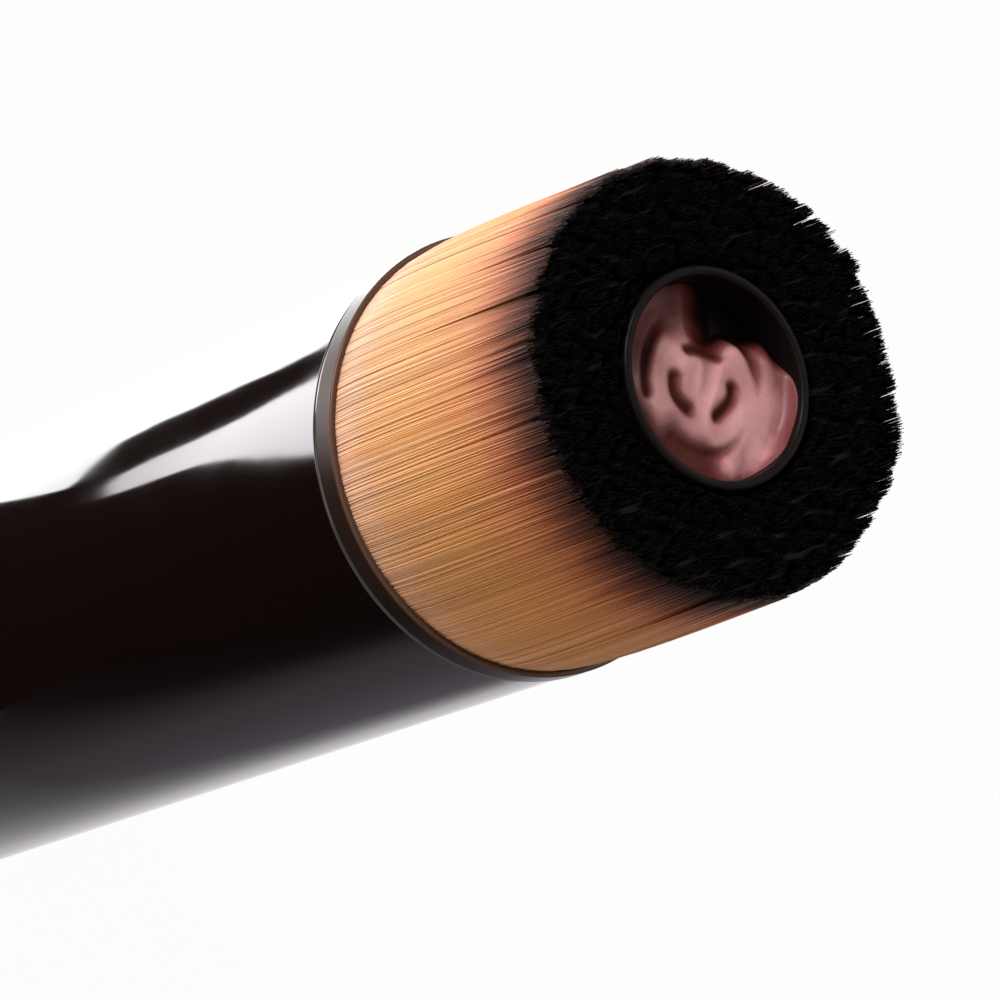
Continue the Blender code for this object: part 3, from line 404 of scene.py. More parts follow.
def flute_carve(radius, height, angles):
    """Draws the wall inwards where a round-ended flute crosses it."""
    rise = height - dial_low.z
    if radius < barrel_radius - SKIN:
        return np.full(len(angles), radius)
    end = FLUTE_MARGIN + FLUTE_RADIUS
    beyond = max(0.0, end - rise, rise - (DIAL_HEIGHT - FLUTE_MARGIN - FLUTE_RADIUS))
    pitch = math.tau / FLUTES
    off = np.abs((angles + pitch / 2) % pitch - pitch / 2) * radius
    room = np.clip(FLUTE_RADIUS ** 2 - off ** 2 - beyond ** 2, 0, None)
    floor = radius + FLUTE_RADIUS - FLUTE_DEPTH - np.sqrt(room)
    gap = floor - radius
    return radius + 0.5 * (gap - np.sqrt(gap ** 2 + FLUTE_SOFT ** 2)) * (room > 0)


dial_corners = [(0, DIAL_FLOOR, 0), (BOSS_BORE, DIAL_FLOOR, TINY), (BOSS_BORE, boss_top, TINY)]
dial_corners += [(BOSS_RADIUS, boss_top, TINY), (BOSS_RADIUS, DIAL_FLOOR, TINY)]
dial_corners += [(NECK_BORE, DIAL_FLOOR, TINY), (NECK_BORE, neck_top, TINY)]
dial_corners += [(NECK_RADIUS, neck_top, TINY), (NECK_RADIUS, NECK_GROOVE[1], TINY)]
dial_corners += [(NECK_GROOVE[2], NECK_GROOVE[1], TINY), (NECK_GROOVE[2], NECK_GROOVE[0], TINY)]
dial_corners += [(NECK_RADIUS, NECK_GROOVE[0], TINY), (NECK_RADIUS, DIAL_HEIGHT, TINY)]
dial_corners += [(barrel_radius, DIAL_HEIGHT, EDGE)]
dial_corners += [(barrel_radius, DIAL_HEIGHT - DIAL_EDGE - WALL_ROW * k, 0) for k in range(WALL_ROWS)]
dial_corners += [(barrel_radius, 0, DIAL_EDGE), (PAD_SEAT[0], 0, TINY), (PAD_SEAT[0], PAD_SEAT[1], TINY)]
dial_corners += [(0, PAD_SEAT[1], 0)]
dial_corners = [(radius, dial_low.z + height, size) for radius, height, size in dial_corners]
dial_lacquer = plastic("dial_lacquer", (0.0046, 0.0018, 0.0014), 0.10, 0.06, bump=0.02)
dial = turned("dial", dial_corners, FLUTES * FLUTE_STEPS, closed=False, carve=flute_carve)
fit(dial, "dial", "base_dial", dial_lacquer)


# Foot pad. A disc of matte rubber pressed into the base's underside, with a shallow ring moulded in its
# face so that it grips a wet counter.
PAD_RADIUS = 0.0130
PAD_RING = (0.0088, 0.0094, 0.0103, 0.0109)
PAD_GROOVE = 0.00025
PAD_STEPS = 128

pad_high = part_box("foot_pad")[1]
pad_corners = [(0, pad_high.z, 0), (PAD_RADIUS, pad_high.z, TINY), (PAD_RADIUS, 0, EDGE)]
pad_corners += [(PAD_RING[3], 0, TINY), (PAD_RING[2], PAD_GROOVE, TINY)]
pad_corners += [(PAD_RING[1], PAD_GROOVE, TINY), (PAD_RING[0], 0, TINY), (0, 0, 0)]
pad_rubber = plastic("pad_rubber", (0.021, 0.021, 0.022), 0.72, 0.12, bump=0.3, specular=0.3, wave=1400.0)
fit(turned("pad", pad_corners, PAD_STEPS, closed=False), "dial", "foot_pad", pad_rubber)


# Trim ring. A thin turned metal ring, plated a dark bronze, and painted lighter along its lip as painted
# light on its top edge. Its flange lies on the barrel's end, and its wall gathers the bristles.
TRIM_BORE = 0.01665
TRIM_FLANGE_BORE = 0.01565
TRIM_FLANGE = 0.0005
TRIM_LIP = 0.0002
TRIM_CREASE = 0.00012
TRIM_BRONZE = (0.020, 0.0115, 0.0080)
TRIM_LIP_PAINTED_LIGHT = (0.095, 0.056, 0.038)
TRIM_PAINTED_LIGHT_BAND = 0.00035

flange_top = ring_low.z + TRIM_FLANGE
trim_corners = [(TRIM_BORE, ring_high.z, TRIM_CREASE), (ring_high.x, ring_high.z, TRIM_LIP)]
trim_corners += [(ring_high.x, ring_low.z, TRIM_CREASE), (TRIM_FLANGE_BORE, ring_low.z, TINY)]
trim_corners += [(TRIM_FLANGE_BORE, flange_top, TINY), (TRIM_BORE, flange_top, TINY)]
trim_plate = plastic("trim_plate", TRIM_BRONZE, 0.26, 0.10, bump=0.04, specular=0.065, metallic=0.3)
tree = trim_plate.node_tree
height = add(tree, "SeparateXYZ", {0: add(tree, "TexCoord").outputs["Object"]}).outputs["Z"]
# painted light: over the ring's top the colour turns from the bronze to a lighter one
lip = add(tree, "MapRange", {"Value": height, "From Min": ring_high.z - TRIM_PAINTED_LIGHT_BAND, "From Max": ring_high.z})
worn = {"Factor": lip.outputs[0], "A": (*TRIM_BRONZE, 1), "B": (*TRIM_LIP_PAINTED_LIGHT, 1)}
lip_painted_light = add(tree, "Mix", worn, data_type="RGBA")
feed(tree.nodes["Principled BSDF"], {"Base Color": lip_painted_light.outputs["Result"]})
fit(turned("trim", trim_corners), "barrel", "trim_ring", trim_plate)


# Bristles. Thousands of dyed filaments, gold with black tips, bonded in a resin ring round the outlet. They
# are made in eight sectors like the tufts they stand for: long ones on the outside over a packed core, and
# tips over the face. The core has a darker copy of their finish and a low tone, as painted shade among
# them.
SECTORS = 8
TUFT_RADIUS = 0.01650
TUFT_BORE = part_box("outlet_cup")[1].x + 0.0004
HAIR_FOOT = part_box("tuft_sector_1")[0].z
HAIR_TIP = 0.13110
HAIR_WIDTH = 0.000112
HAIR_TAPER = 0.40
HAIR_POINT = 0.00009
SIDE_LAYERS = (0.0, 0.00010, 0.00021, 0.00034)
SIDE_SPACING = 0.000114
SIDE_SCATTER = 0.00008
SIDE_WANDER = 0.45
SIDE_STEPS = 7
SIDE_SINK = 0.0002
FACE_SPACING = 0.00019
FACE_WANDER = 0.5
FACE_HAIR_LENGTH = 0.0042
FACE_STEPS = 3
FACE_DIP = 0.0070
LOCK_SPACING = 0.00125
LOCK_ROW = 0.866
LOCK_JITTER = 0.38
LOCK_PULL = 0.27
LOCK_LEAN = 0.00011
LOCK_HEIGHT = 0.00016
LOCK_TONE = 0.55
HAIR_LEAN = 0.00005
EDGE_BAND = 0.0011
EDGE_DROP = 0.0006
EDGE_HOLD = 0.6
BORE_BAND = 0.0007
BORE_DROP = 0.0004
TIP_SCATTER = 0.00013
STRAY_SHARE = 0.02
STRAY_RISE = 0.0003
BULGE = 0.00035
BULGE_LOW = 0.6
CLOSING = 0.00020
SPLAY = ((58, 14, 0.0007), (112, 20, 0.0006))
SPLAY_START = 0.013
SPLAY_BAND = 0.0033
SOFTNESS = 0.60
CORE_TOP = 0.1298
CORE_GAP = 0.0003
CORE_INSET = 0.0001
CORE_NECK = 0.0010
CORE_SHOULDER = (0.0005, 0.0003)
CORE_CROWN = 0.0014
CORE_BEVEL = 0.0008
CORE_CAP = 0.0005
CORE_STEPS = (12, 14)
CORE_PAINTED_SHADE_TONE = 0.3
DYE_SCATTER = 0.0006
DYE_LOCK = 0.0010
DYE_SIDE = 0.0005
DYE_RAGGED = 0.0024
DYE_SPAN = (0.1095, 0.1345)
# The first two stops are paler than the gold above them, a painted highlight at the filaments' foot; the
# rest are the dye from gold to black.
HAIR_DYES_AND_FOOT_HIGHLIGHT = ((0.0, (0.77, 0.50, 0.31)), (0.10, (0.77, 0.45, 0.20)), (0.34, (0.75, 0.415, 0.145)),
             (0.58, (0.67, 0.310, 0.115)), (0.68, (0.50, 0.190, 0.078)), (0.76, (0.25, 0.085, 0.042)),
             (0.84, (0.085, 0.030, 0.020)), (0.91, (0.014, 0.008, 0.006)), (1.0, (0.0030, 0.0025, 0.0025)))
HAIR_SHINE = {"From Min": 0.60, "From Max": 0.90, "To Min": 0.28, "To Max": 0.07}
HAIR_ROUGHNESS = 0.45
STREAK_GRAIN = (900, 900, 14)
TONE_SPAN = (0.45, 1.55)
TONE_LEVELS = (0.80, 1.12)
CORE_PAINTED_SHADE = 0.80

chance = np.random.default_rng(41)


def lock_centres():
    """Places where the tips of neighbouring filaments lean together, on a jittered grid over the face."""
    reach = int(TUFT_RADIUS / LOCK_SPACING) + 2
    places = []
    for i in range(-reach, reach + 1):
        for j in range(-reach, reach + 1):
            places.append((LOCK_SPACING * (i + 0.5 * (j % 2)), LOCK_SPACING * LOCK_ROW * j))
    places = np.array(places)
    return places + chance.uniform(-LOCK_JITTER, LOCK_JITTER, places.shape) * LOCK_SPACING


locks = lock_centres()
lock_leans = chance.normal(0, LOCK_LEAN, locks.shape)
lock_heights = chance.normal(0, LOCK_HEIGHT, len(locks))
lock_tones = chance.uniform(0, 1, len(locks))


def bulge(rise):
    """How far the tuft stands out over its ring, from its foot at nought to its tips at one."""
    rise = np.clip(rise, 0, 1)
    return BULGE * np.sin(math.pi * rise ** BULGE_LOW) - CLOSING * rise ** 2


def splay(angles):
    """How far the outer tips open on the worn side of the tuft."""
    turns = np.degrees(angles) % 360
    return sum(reach * np.exp(-((turns - at) / width) ** 2) for at, width, reach in SPLAY)


def row_of_feet(middle, half, radius, spacing, wander, scatter):
    """Feet of the filaments that stand side by side on one arc of a sector."""
    count = max(1, int(2 * half * radius / spacing))
    angles = middle + half * (2 * (np.arange(count) + 0.5) / count - 1)
    angles = angles + chance.uniform(-wander, wander, count) * spacing / radius
    angles = np.clip(angles, middle - half, middle + half)
    reach = radius + chance.uniform(-0.5, 0.5, count) * scatter
    return np.stack([reach * np.cos(angles), reach * np.sin(angles)], 1)


def side_feet(middle, half):
    """Feet of the long outer filaments of one sector, in layers from the outside in."""
    radii = [TUFT_RADIUS - depth for depth in SIDE_LAYERS]
    rows = [row_of_feet(middle, half, r, SIDE_SPACING, SIDE_WANDER, SIDE_SCATTER) for r in radii]
    return np.concatenate(rows)


def face_feet(middle, half):
    """Feet of the short filaments whose tips make the flat face of one sector."""
    feet = []
    radius = TUFT_BORE
    while radius < TUFT_RADIUS - SIDE_LAYERS[-1]:
        feet.append(row_of_feet(middle, half, radius, FACE_SPACING, FACE_WANDER, FACE_SPACING))
        radius += FACE_SPACING
    return np.concatenate(feet)


def hair_faces(count, steps):
    """Faces of three-sided filaments: their walls, their pointed tips and their feet."""
    last = 3 * steps
    per = last + 4
    walls = []
    for step in range(steps):
        for side in range(3):
            a, b = 3 * step + side, 3 * step + (side + 1) % 3
            walls.append((a, b, b + 3, a + 3))
    tips = [(last, last + 1, per - 1), (last + 1, last + 2, per - 1), (last + 2, last, per - 1)]
    starts = (np.arange(count) * per)[:, None, None]
    faces = []
    for pattern in (walls, tips, [(2, 1, 0)]):
        pattern = np.array(pattern)
        faces += (pattern[None] + starts).reshape(-1, pattern.shape[1]).tolist()
    return faces


def filaments(feet, foot_height, steps, dip):
    """Three-sided tapered filaments: their points, faces, tones, dye shifts and soft rounded normals."""
    lock = ((feet[:, None, :] - locks[None, :, :]) ** 2).sum(2).argmin(1)
    count = len(feet)
    radius = np.hypot(feet[:, 0], feet[:, 1])
    outside = np.clip((radius - (TUFT_RADIUS - EDGE_BAND)) / EDGE_BAND, 0, 1)
    inside = np.clip(((TUFT_BORE + BORE_BAND) - radius) / BORE_BAND, 0, 1)
    top = HAIR_TIP - EDGE_DROP * outside ** 2 - BORE_DROP * inside + lock_heights[lock]
    top = top + chance.normal(0, TIP_SCATTER, count)
    stray = chance.uniform(0, 1, count) < STRAY_SHARE
    top = np.minimum(top + stray * chance.uniform(0, STRAY_RISE, count), HAIR_TIP + STRAY_RISE)
    lean = lock_leans[lock] + chance.normal(0, HAIR_LEAN, feet.shape)
    pull = (locks[lock] - feet) * LOCK_PULL * (1 - EDGE_HOLD * outside[:, None])
    outward = feet / radius[:, None]
    open_by = splay(np.arctan2(feet[:, 1], feet[:, 0])) * np.clip((radius - SPLAY_START) / SPLAY_BAND, 0, 1)
    spin = chance.uniform(0, math.tau, count)
    rings, turns = [], []
    for step in range(steps + 1):
        share = step / steps
        height = foot_height + (top - foot_height) * share
        rise = (height - HAIR_FOOT) / (HAIR_TIP - HAIR_FOOT)
        bend = np.clip(rise, 0, 1)[:, None] ** 3
        reach = bulge(rise) * (radius / TUFT_RADIUS) ** 4 + open_by * np.clip(rise, 0, 1) ** 2
        middle = feet + (pull + lean) * bend + outward * reach[:, None]
        # none may reach into the outlet cup
        limit = np.hypot(middle[:, 0], middle[:, 1])
        middle = middle * np.clip(np.maximum(limit, TUFT_BORE) / limit, 1, 2)[:, None]
        width = HAIR_WIDTH / 2 * (1 - HAIR_TAPER * share ** 4)
        for side in range(3):
            turn = spin + math.tau * side / 3
            x = middle[:, 0] + width * np.cos(turn)
            y = middle[:, 1] + width * np.sin(turn)
            rings.append(np.stack([x, y, height], 1))
            turns.append(np.stack([np.cos(turn), np.sin(turn), 0 * turn], 1))
    points = np.stack(rings, 1)
    tip = points[:, -3:, :].mean(1, keepdims=True)
    tip[:, 0, 2] += HAIR_POINT
    points = np.concatenate([points, tip], 1)
    outer = np.concatenate([outward, np.zeros((count, 1))], 1)
    round_off = np.stack(turns + [turns[-1]], 1) * (1 - SOFTNESS) + outer[:, None, :] * SOFTNESS
    round_off = round_off * (dip == 0)
    tone = LOCK_TONE * lock_tones[lock] + (1 - LOCK_TONE) * chance.uniform(0, 1, count)
    dye = chance.normal(0, DYE_SCATTER, count) + DYE_LOCK * (lock_tones[lock] - 0.5) + dip
    dye = dye + DYE_SIDE * (feet[:, 0] / TUFT_RADIUS) ** 2
    per = points.shape[1]
    return (points.reshape(-1, 3), hair_faces(count, steps), np.repeat(tone, per), np.repeat(dye, per),
            round_off.reshape(-1, 3))


def core_wedge(middle, half):
    """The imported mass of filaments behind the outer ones, as a closed wedge with a slightly domed top."""
    outer = TUFT_RADIUS - SIDE_LAYERS[-1] - CORE_INSET
    inner = TUFT_BORE + CORE_INSET
    across, up = CORE_STEPS
    heights = [HAIR_FOOT + (CORE_TOP - CORE_NECK - HAIR_FOOT) * k / up for k in range(up + 1)]
    profile = [(outer + float(bulge((z - HAIR_FOOT) / (HAIR_TIP - HAIR_FOOT))), z) for z in heights]
    profile += [(outer - CORE_SHOULDER[0], CORE_TOP - CORE_SHOULDER[1]), (outer - CORE_CROWN, CORE_TOP)]
    profile += [(inner + CORE_BEVEL, CORE_TOP), (inner, CORE_TOP - CORE_BEVEL), (inner, HAIR_FOOT)]
    points, faces = [], []
    for angle in [middle + half * (2 * k / across - 1) for k in range(across + 1)]:
        points += [(r * math.cos(angle), r * math.sin(angle), z) for r, z in profile]
    n = len(profile)
    for k in range(across):
        for i in range(n):
            a, b = k * n + i, k * n + (i + 1) % n
            faces.append((a, a + n, b + n, b))
    faces.append(tuple(range(n)))
    faces.append(tuple(reversed(range(across * n, (across + 1) * n))))
    return points, faces


def fill_ramp(ramp, stops, top=1.0):
    """Sets the stops of a colour ramp, their places being shares of the top one."""
    elements = ramp.color_ramp.elements
    while len(elements) < len(stops):
        elements.new(0.5)
    for element, (at, colour) in zip(elements, stops):
        element.position = at / top
        element.color = (*colour, 1)


def bristle_finish(name, shade):
    """Gold filaments, each with its own tone, dyed black towards the tip along a ragged line; shade below
    one is painted shade.
    """
    made, tree = new_material(name)
    spot = add(tree, "TexCoord").outputs["Object"]
    tone = add(tree, "Attribute", attribute_name="tone").outputs["Fac"]
    dye = add(tree, "Attribute", attribute_name="dye").outputs["Fac"]
    # long soft streaks: noise that hardly changes along the filament
    stretch = add(tree, "Mapping", {"Vector": spot, "Scale": STREAK_GRAIN}).outputs[0]
    streak = add(tree, "TexNoise", {"Vector": stretch, "Scale": 1.0, "Detail": 3}).outputs["Fac"]
    height = add(tree, "SeparateXYZ", {0: spot}).outputs["Z"]
    dyed = add(tree, "Math", {0: height, 1: dye}, operation="ADD").outputs[0]
    ragged = add(tree, "Math", {0: streak, 1: DYE_RAGGED, 2: dyed}, operation="MULTIPLY_ADD").outputs[0]
    share = add(tree, "MapRange", {
        "Value": ragged, "From Min": DYE_SPAN[0], "From Max": DYE_SPAN[1]}).outputs[0]
    shine = add(tree, "MapRange", {"Value": share, **HAIR_SHINE}).outputs[0]
    ramp = add(tree, "ValToRGB", {"Fac": share})
    fill_ramp(ramp, HAIR_DYES_AND_FOOT_HIGHLIGHT)
    blend = add(tree, "Math", {0: tone, 1: streak}, operation="ADD").outputs[0]
    bright = add(tree, "MapRange", {
        "Value": blend, "From Min": TONE_SPAN[0], "From Max": TONE_SPAN[1],
        "To Min": TONE_LEVELS[0] * shade, "To Max": TONE_LEVELS[1] * shade})
    tint = add(tree, "VectorMath", {
        0: ramp.outputs["Color"], "Scale": bright.outputs[0]}, operation="SCALE")
    feed(tree.nodes["Principled BSDF"], {
        "Base Color": tint.outputs[0], "Roughness": HAIR_ROUGHNESS, "Specular IOR Level": shine})
    return made


def point_values(mesh, name, values):
    """Keeps a value on each point of a mesh, for its material to read."""
    mesh.attributes.new(name, "FLOAT", "POINT").data.foreach_set("value", values.astype(np.float32))


bristle_hair = bristle_finish("bristle_hair", 1.0)
# a darker copy of the same finish for the core: painted shade
bristle_mass_painted_shade = bristle_finish("bristle_mass_painted_shade", CORE_PAINTED_SHADE)

for sector in range(SECTORS):
    middle = math.tau * (sector + 0.5) / SECTORS
    half = math.pi / SECTORS
    core_points, core_faces = core_wedge(middle, half - CORE_GAP)
    side = side_feet(middle, half)
    face = face_feet(middle, half)
    sets = [filaments(side, HAIR_FOOT + SIDE_SINK, SIDE_STEPS, 0.0),
            filaments(face, HAIR_TIP - FACE_HAIR_LENGTH, FACE_STEPS, FACE_DIP)]
    points = np.array(core_points)
    faces = list(core_faces)
    # the core's low tone darkens it further: painted shade
    tones = np.full(len(points), CORE_PAINTED_SHADE_TONE)
    on_top = points[:, 2] > CORE_TOP - CORE_CAP
    dyes = FACE_DIP * on_top
    normals = np.where(on_top[:, None], (0, 0, 1), points * (1, 1, 0))
    for more_points, more_faces, more_tones, more_dyes, more_normals in sets:
        start = len(points)
        faces += [tuple(start + v for v in item) for item in more_faces]
        points = np.concatenate([points, more_points])
        tones = np.concatenate([tones, more_tones])
        dyes = np.concatenate([dyes, more_dyes])
        normals = np.concatenate([normals, more_normals])
    mesh = bpy.data.meshes.new(f"bristles_{sector + 1}")
    mesh.from_pydata(points.tolist(), [], faces)
    point_values(mesh, "tone", tones)
    point_values(mesh, "dye", dyes)
    mesh.materials.append(bristle_hair)
    mesh.materials.append(bristle_mass_painted_shade)
    of_core = (np.arange(len(faces)) < len(core_faces)).astype(np.int32)
    mesh.polygons.foreach_set("material_index", of_core)
    mesh.shade_smooth()
    length = np.maximum(np.linalg.norm(normals, axis=1, keepdims=True), 1e-9)
    mesh.normals_split_custom_set_from_vertices((normals / length).tolist())
    bristles = put_in_scene(f"bristles_{sector + 1}", mesh)
    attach(bristles, "barrel")
    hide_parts(f"tuft_sector_{sector + 1}")


# Outlet cup. A thin polished tube of smoke-black plastic up the middle of the bristles. Its rounded rim
# stands just under the tips, a web inside it holds the feed tube, and a ledge carries the disc.
CUP_WALL = 0.00075
CUP_RIM = 0.00036
CUP_WEB = 0.0052
CUP_WEB_THICK = 0.0015
CUP_SOCKET = 0.0033
CUP_LEDGE = 0.00065
CUP_LEDGE_DROP = 0.0003
CUP_STEPS = 160

cup_low, cup_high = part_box("outlet_cup")
disc_low, disc_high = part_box("outlet_disc")
cup_radius = cup_high.x
cup_bore = cup_radius - CUP_WALL
ledge_bore = cup_bore - CUP_LEDGE
ledge = disc_low.z - CUP_LEDGE_DROP
web_low, web_high = ledge - CUP_WEB, ledge - CUP_WEB + CUP_WEB_THICK
cup_corners = [(cup_radius, cup_high.z, CUP_RIM), (cup_radius, cup_low.z, TINY)]
cup_corners += [(cup_bore, cup_low.z, TINY), (cup_bore, web_low, TINY)]
cup_corners += [(CUP_SOCKET, web_low, TINY), (CUP_SOCKET, web_high, TINY)]
cup_corners += [(ledge_bore, web_high, TINY), (ledge_bore, ledge, TINY)]
cup_corners += [(cup_bore, ledge, TINY), (cup_bore, cup_high.z, CUP_RIM)]
cup_smoke = plastic("cup_smoke", (0.0045, 0.0030, 0.0028), 0.34, 0.15, bump=0.08, specular=0.055)
fit(turned("cup", cup_corners, CUP_STEPS), "barrel", "outlet_cup", cup_smoke)


# Outlet disc. A dark red-tinted moulded plate with two rings of curved slots, pressed down on the cup's
# ledge. It keeps the valve in place and spreads the foundation over the well.
def dress(name, finish):
    """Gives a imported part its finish."""
    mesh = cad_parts[name].data
    mesh.materials.clear()
    mesh.materials.append(finish)


dress("outlet_disc", plastic("disc_red", (0.016, 0.004, 0.004), 0.60, 0.10, bump=0.06, specular=0.04))


# Foundation. A dusty pink fluid that has risen through the disc's slots, and fills the well nearly to its
# rim but for a lower crescent at one side. Its skin has folds, has sunk over the slots, and climbs the wall
# on the side that the bristles were wiped towards. Painted shade darkens its colour on the crescent, in the
# sunken grooves and fold troughs, towards the rim, on the wall and over the smear round the pools.
DOSE_GAP = 0.00003
DOSE_DEPTH = 0.0027
DOSE_LEAST = 0.00012
DOSE_SOLE = 0.00001
DOSE_HUB = 0.00001
DOSE_RINGS = 120
DOSE_STEPS = 360
POOLS = ((0.0037, 0.0034, 0.0043), (-0.0013, -0.0030, 0.0026))
POOL_BLEND = 0.0007
POOL_SHORE = 0.0023
SHORE_WAVES = ((0.00030, 1300, 0, 0.7), (0.00025, 900, 1700, 0))
CRESCENT_SLANT = 0.4
CRESCENT_EDGE = (0.0012, 0.0035)
CRESCENT_END = (0.0022, 0.004)
CRESCENT_LOSS = 0.70
SMEAR_LOSS = 0.25
SMEAR_PAINTED_SHADE = (0.16, 0.40, 0.001, 0.003)
FOLD_WAVES = ((1350, 700, 0.0, 2.0), (-500, 1100, 1.0, 0.0))
FOLD_CURL = 650
FOLD_HEIGHT = 0.00010
FOLD_PAINTED_SHADE = 0.06
SLOT_MARKS = ((0.0026, 34, 30, 0.00050), (0.0052, 103, 38, 0.00046))
SLOTS_A_RING = 3
MARK_WAVER = 0.00010
MARK_DEPTH = 0.00045
MARK_PAINTED_SHADE = 0.66
THICK_SIDE = math.radians(40)
THICK_BAND = (0.0026, 0.0022)
WALL_COAT = (46, 34, 0.0013)
WALL_START = 0.86
WALL_PAINTED_SHADE = 0.20
RIM_PAINTED_SHADE = (0.24, 0.0012, 0.0052, 0.0014)
FILM_TOP = 1.3
FILM_SWIRL = 0.30
FILM_SHADES = ((0.10, (0.004, 0.0015, 0.0015)), (0.32, (0.015, 0.004, 0.0035)),
               (0.50, (0.055, 0.013, 0.0105)), (0.72, (0.120, 0.031, 0.028)), (0.90, (0.18, 0.062, 0.058)),
               (1.05, (0.39, 0.178, 0.170)), (1.22, (0.60, 0.315, 0.300)))
FILM_SHINE = {"From Min": 0.5, "From Max": 1.0, "To Min": 0.03, "To Max": 0.32}

dose_radius = cup_bore - DOSE_GAP


def soft_least(levels):
    """The least of several fields, rounded where two of them meet."""
    return -POOL_BLEND * np.log(sum(np.exp(-level / POOL_BLEND) for level in levels))


def near_mark(x, y):
    """One where the skin has sunk over the disc's curved slots, and nought away from them."""
    radius, angle = np.hypot(x, y), np.degrees(np.arctan2(y, x))
    radius = radius + MARK_WAVER * np.sin(np.radians(5 * angle))
    close = np.zeros_like(x)
    for reach, first, half, wide in SLOT_MARKS:
        for k in range(SLOTS_A_RING):
            aside = np.abs((angle - first - 360 * k / SLOTS_A_RING + 180) % 360 - 180)
            over = np.radians(np.maximum(0, aside - half)) * reach
            close = np.maximum(close, np.exp(-(np.hypot(radius - reach, over) / wide) ** 2))
    towards = x * math.cos(THICK_SIDE) + y * math.sin(THICK_SIDE)
    return close * (1 - np.clip((towards - THICK_BAND[0]) / THICK_BAND[1], 0, 1))


def dose_surface(x, y):
    """Height of the pool's skin over the disc, and a value for its colour that carries the painted shade.
    """
    waver = sum(size * np.sin(by_x * x + by_y * y + start) for size, by_x, by_y, start in SHORE_WAVES)
    shore = soft_least([np.hypot(x - at_x, y - at_y) - reach for at_x, at_y, reach in POOLS]) + waver
    slope = np.clip(shore / POOL_SHORE, 0, 1)
    slope = slope * slope * (3 - 2 * slope)
    # a lower crescent at one side, whose colour is painted near black: painted shade
    shaded_crescent = np.clip((y + CRESCENT_SLANT * x + CRESCENT_EDGE[0]) / CRESCENT_EDGE[1], 0, 1)
    shaded_crescent = shaded_crescent * np.clip((CRESCENT_END[0] - x) / CRESCENT_END[1], 0, 1)
    smear = slope * (1 - shaded_crescent)
    # painted shade: the smear round the pools is darker, most towards +X
    faint = SMEAR_PAINTED_SHADE[0] + SMEAR_PAINTED_SHADE[1] * np.clip((x + SMEAR_PAINTED_SHADE[2]) / SMEAR_PAINTED_SHADE[3], 0, 1)
    shaded_crescent = slope * shaded_crescent
    # the sunken grooves are also painted darker in the colour below: painted shade
    marks = near_mark(x, y) * (1 - slope)
    curl = np.sin(FOLD_CURL * y)
    waves = [np.sin(by_x * x + by_y * y + start + bend * curl) for by_x, by_y, start, bend in FOLD_WAVES]
    # the folds also tint the colour: painted shade in the troughs, painted highlight on the ridges
    folds = sum(waves) / len(waves)
    height = DOSE_DEPTH * (1 - CRESCENT_LOSS * shaded_crescent - SMEAR_LOSS * smear)
    height = height + FOLD_HEIGHT * folds * (1 - slope) - MARK_DEPTH * marks
    coat = np.exp(-((np.degrees(np.arctan2(y, x)) - WALL_COAT[0]) / WALL_COAT[1]) ** 4)
    climb = np.clip((np.hypot(x, y) / dose_radius - WALL_START) / (1 - WALL_START), 0, 1) ** 3
    height = height + WALL_COAT[2] * coat * climb
    # painted shade: the colour darkens towards the rim and where the foundation climbs the wall
    out = np.hypot(x - RIM_PAINTED_SHADE[1], y)
    rim_and_wall_shade = RIM_PAINTED_SHADE[0] * np.clip((out - RIM_PAINTED_SHADE[2]) / RIM_PAINTED_SHADE[3], 0, 1) + WALL_PAINTED_SHADE * coat * climb
    cover_and_shade = 1 - shaded_crescent - faint * smear - MARK_PAINTED_SHADE * marks - rim_and_wall_shade + FOLD_PAINTED_SHADE * folds
    return np.maximum(height, DOSE_LEAST), cover_and_shade


turns = math.tau * np.arange(DOSE_STEPS) / DOSE_STEPS
reaches = dose_radius * (np.arange(DOSE_RINGS + 1) / DOSE_RINGS)
reaches[0] = DOSE_HUB
grid_x = reaches[:, None] * np.cos(turns)[None]
grid_y = reaches[:, None] * np.sin(turns)[None]
skin, cover_and_shade = dose_surface(grid_x, grid_y)
top = np.stack([grid_x, grid_y, disc_high.z + skin], 2).reshape(-1, 3)
sole = top * (1, 1, 0) + (0, 0, disc_high.z + DOSE_SOLE)
rim_start = DOSE_RINGS * DOSE_STEPS
foot = rim_start + DOSE_STEPS
here, after = np.arange(DOSE_STEPS), (np.arange(DOSE_STEPS) + 1) % DOSE_STEPS
faces = []
for a in range(0, rim_start + 1, DOSE_STEPS):
    b = a + DOSE_STEPS
    faces += np.stack([a + here, b + here, b + after, a + after], 1).tolist()
faces.append((foot + here)[::-1].tolist())
faces.append(here.tolist()[::-1])
dose_mesh = bpy.data.meshes.new("foundation_dose")
dose_mesh.from_pydata(np.concatenate([top, sole[rim_start:]]).tolist(), [], faces)
cover_and_shade = cover_and_shade.reshape(-1)
point_values(dose_mesh, "cover_and_shade", np.concatenate([cover_and_shade, cover_and_shade[rim_start:]]))
form = bmesh.new()
form.from_mesh(dose_mesh)
bmesh.ops.recalc_face_normals(form, faces=form.faces)
form.to_mesh(dose_mesh)
form.free()
dose_mesh.shade_smooth()
dose = put_in_scene("foundation_dose", dose_mesh)

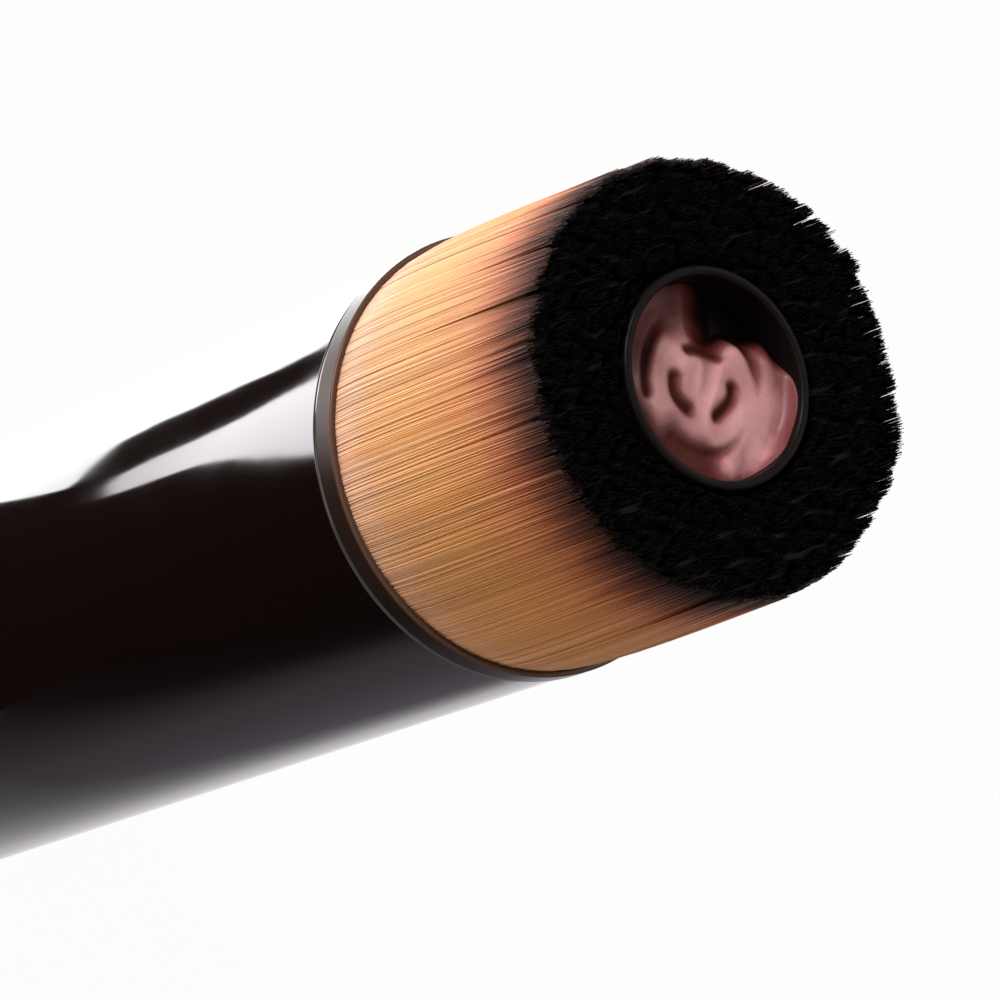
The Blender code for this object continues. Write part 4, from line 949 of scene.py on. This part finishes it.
dose_cream, tree = new_material("dose_cream")
spot = add(tree, "TexCoord").outputs["Object"]
swirl = add(tree, "TexNoise", {"Vector": spot, "Scale": 420, "Detail": 4, "Distortion": 0.8}).outputs["Fac"]
# the foundation's cover, lowered by the painted shade of dose_surface
cover_and_shade_value = add(tree, "Attribute", attribute_name="cover_and_shade").outputs["Fac"]
uneven = add(tree, "Math", {0: swirl, 1: FILM_SWIRL, 2: cover_and_shade_value}, operation="MULTIPLY_ADD").outputs[0]
scaled = add(tree, "Math", {0: uneven, 1: FILM_TOP}, operation="DIVIDE").outputs[0]
cream = add(tree, "ValToRGB", {"Fac": scaled})
fill_ramp(cream, FILM_SHADES, FILM_TOP)
wet = add(tree, "MapRange", {"Value": cover_and_shade_value, **FILM_SHINE})
raised = add(tree, "Bump", {"Strength": 0.12, "Distance": 0.0002, "Height": swirl})
feed(tree.nodes["Principled BSDF"], {
    "Base Color": cream.outputs["Color"], "Roughness": 0.36, "Specular IOR Level": wet.outputs[0],
    "Subsurface Weight": 0.25, "Subsurface Radius": (0.0012, 0.0006, 0.0005), "Subsurface Scale": 0.6,
    "Normal": raised.outputs["Normal"]})
dose_mesh.materials.append(dose_cream)
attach(dose, "barrel")


# Works inside the barrel. Natural and black mouldings, soft seals and a spring steel ring, pressed or
# snapped together, none of which shows from outside.
acetal = plastic("acetal", (0.78, 0.76, 0.71), 0.42, 0.1, bump=0.06)
for name in ("ratchet_ring", "nut_plate", "drive_sleeve", "plunger_rod", "piston", "feed_tube"):
    dress(name, acetal)
black_moulding = plastic("black_moulding", (0.028, 0.027, 0.027), 0.45, 0.1, bump=0.08)
for name in ("brush_carrier", "click_pawl"):
    dress(name, black_moulding)
seal_rubber = plastic("seal_rubber", (0.035, 0.035, 0.036), 0.68, 0.1, bump=0.2, specular=0.3, wave=1200.0)
for name in ("cartridge_gasket", "piston_seal_lower", "piston_seal_upper"):
    dress(name, seal_rubber)
dress("cartridge", plastic("cartridge_milk", (0.80, 0.78, 0.75), 0.22, 0.1, bump=0.03))
dress("outlet_valve", plastic("valve_silicone", (0.70, 0.66, 0.65), 0.5, 0.1, bump=0.05))
dress("resin_bed", plastic("cast_resin", (0.23, 0.125, 0.05), 0.25, 0.1, coat=0.3, bump=0.1))
dress("retaining_ring", plastic("spring_steel", (0.55, 0.55, 0.57), 0.3, 0.15, bump=0.05, metallic=1.0))
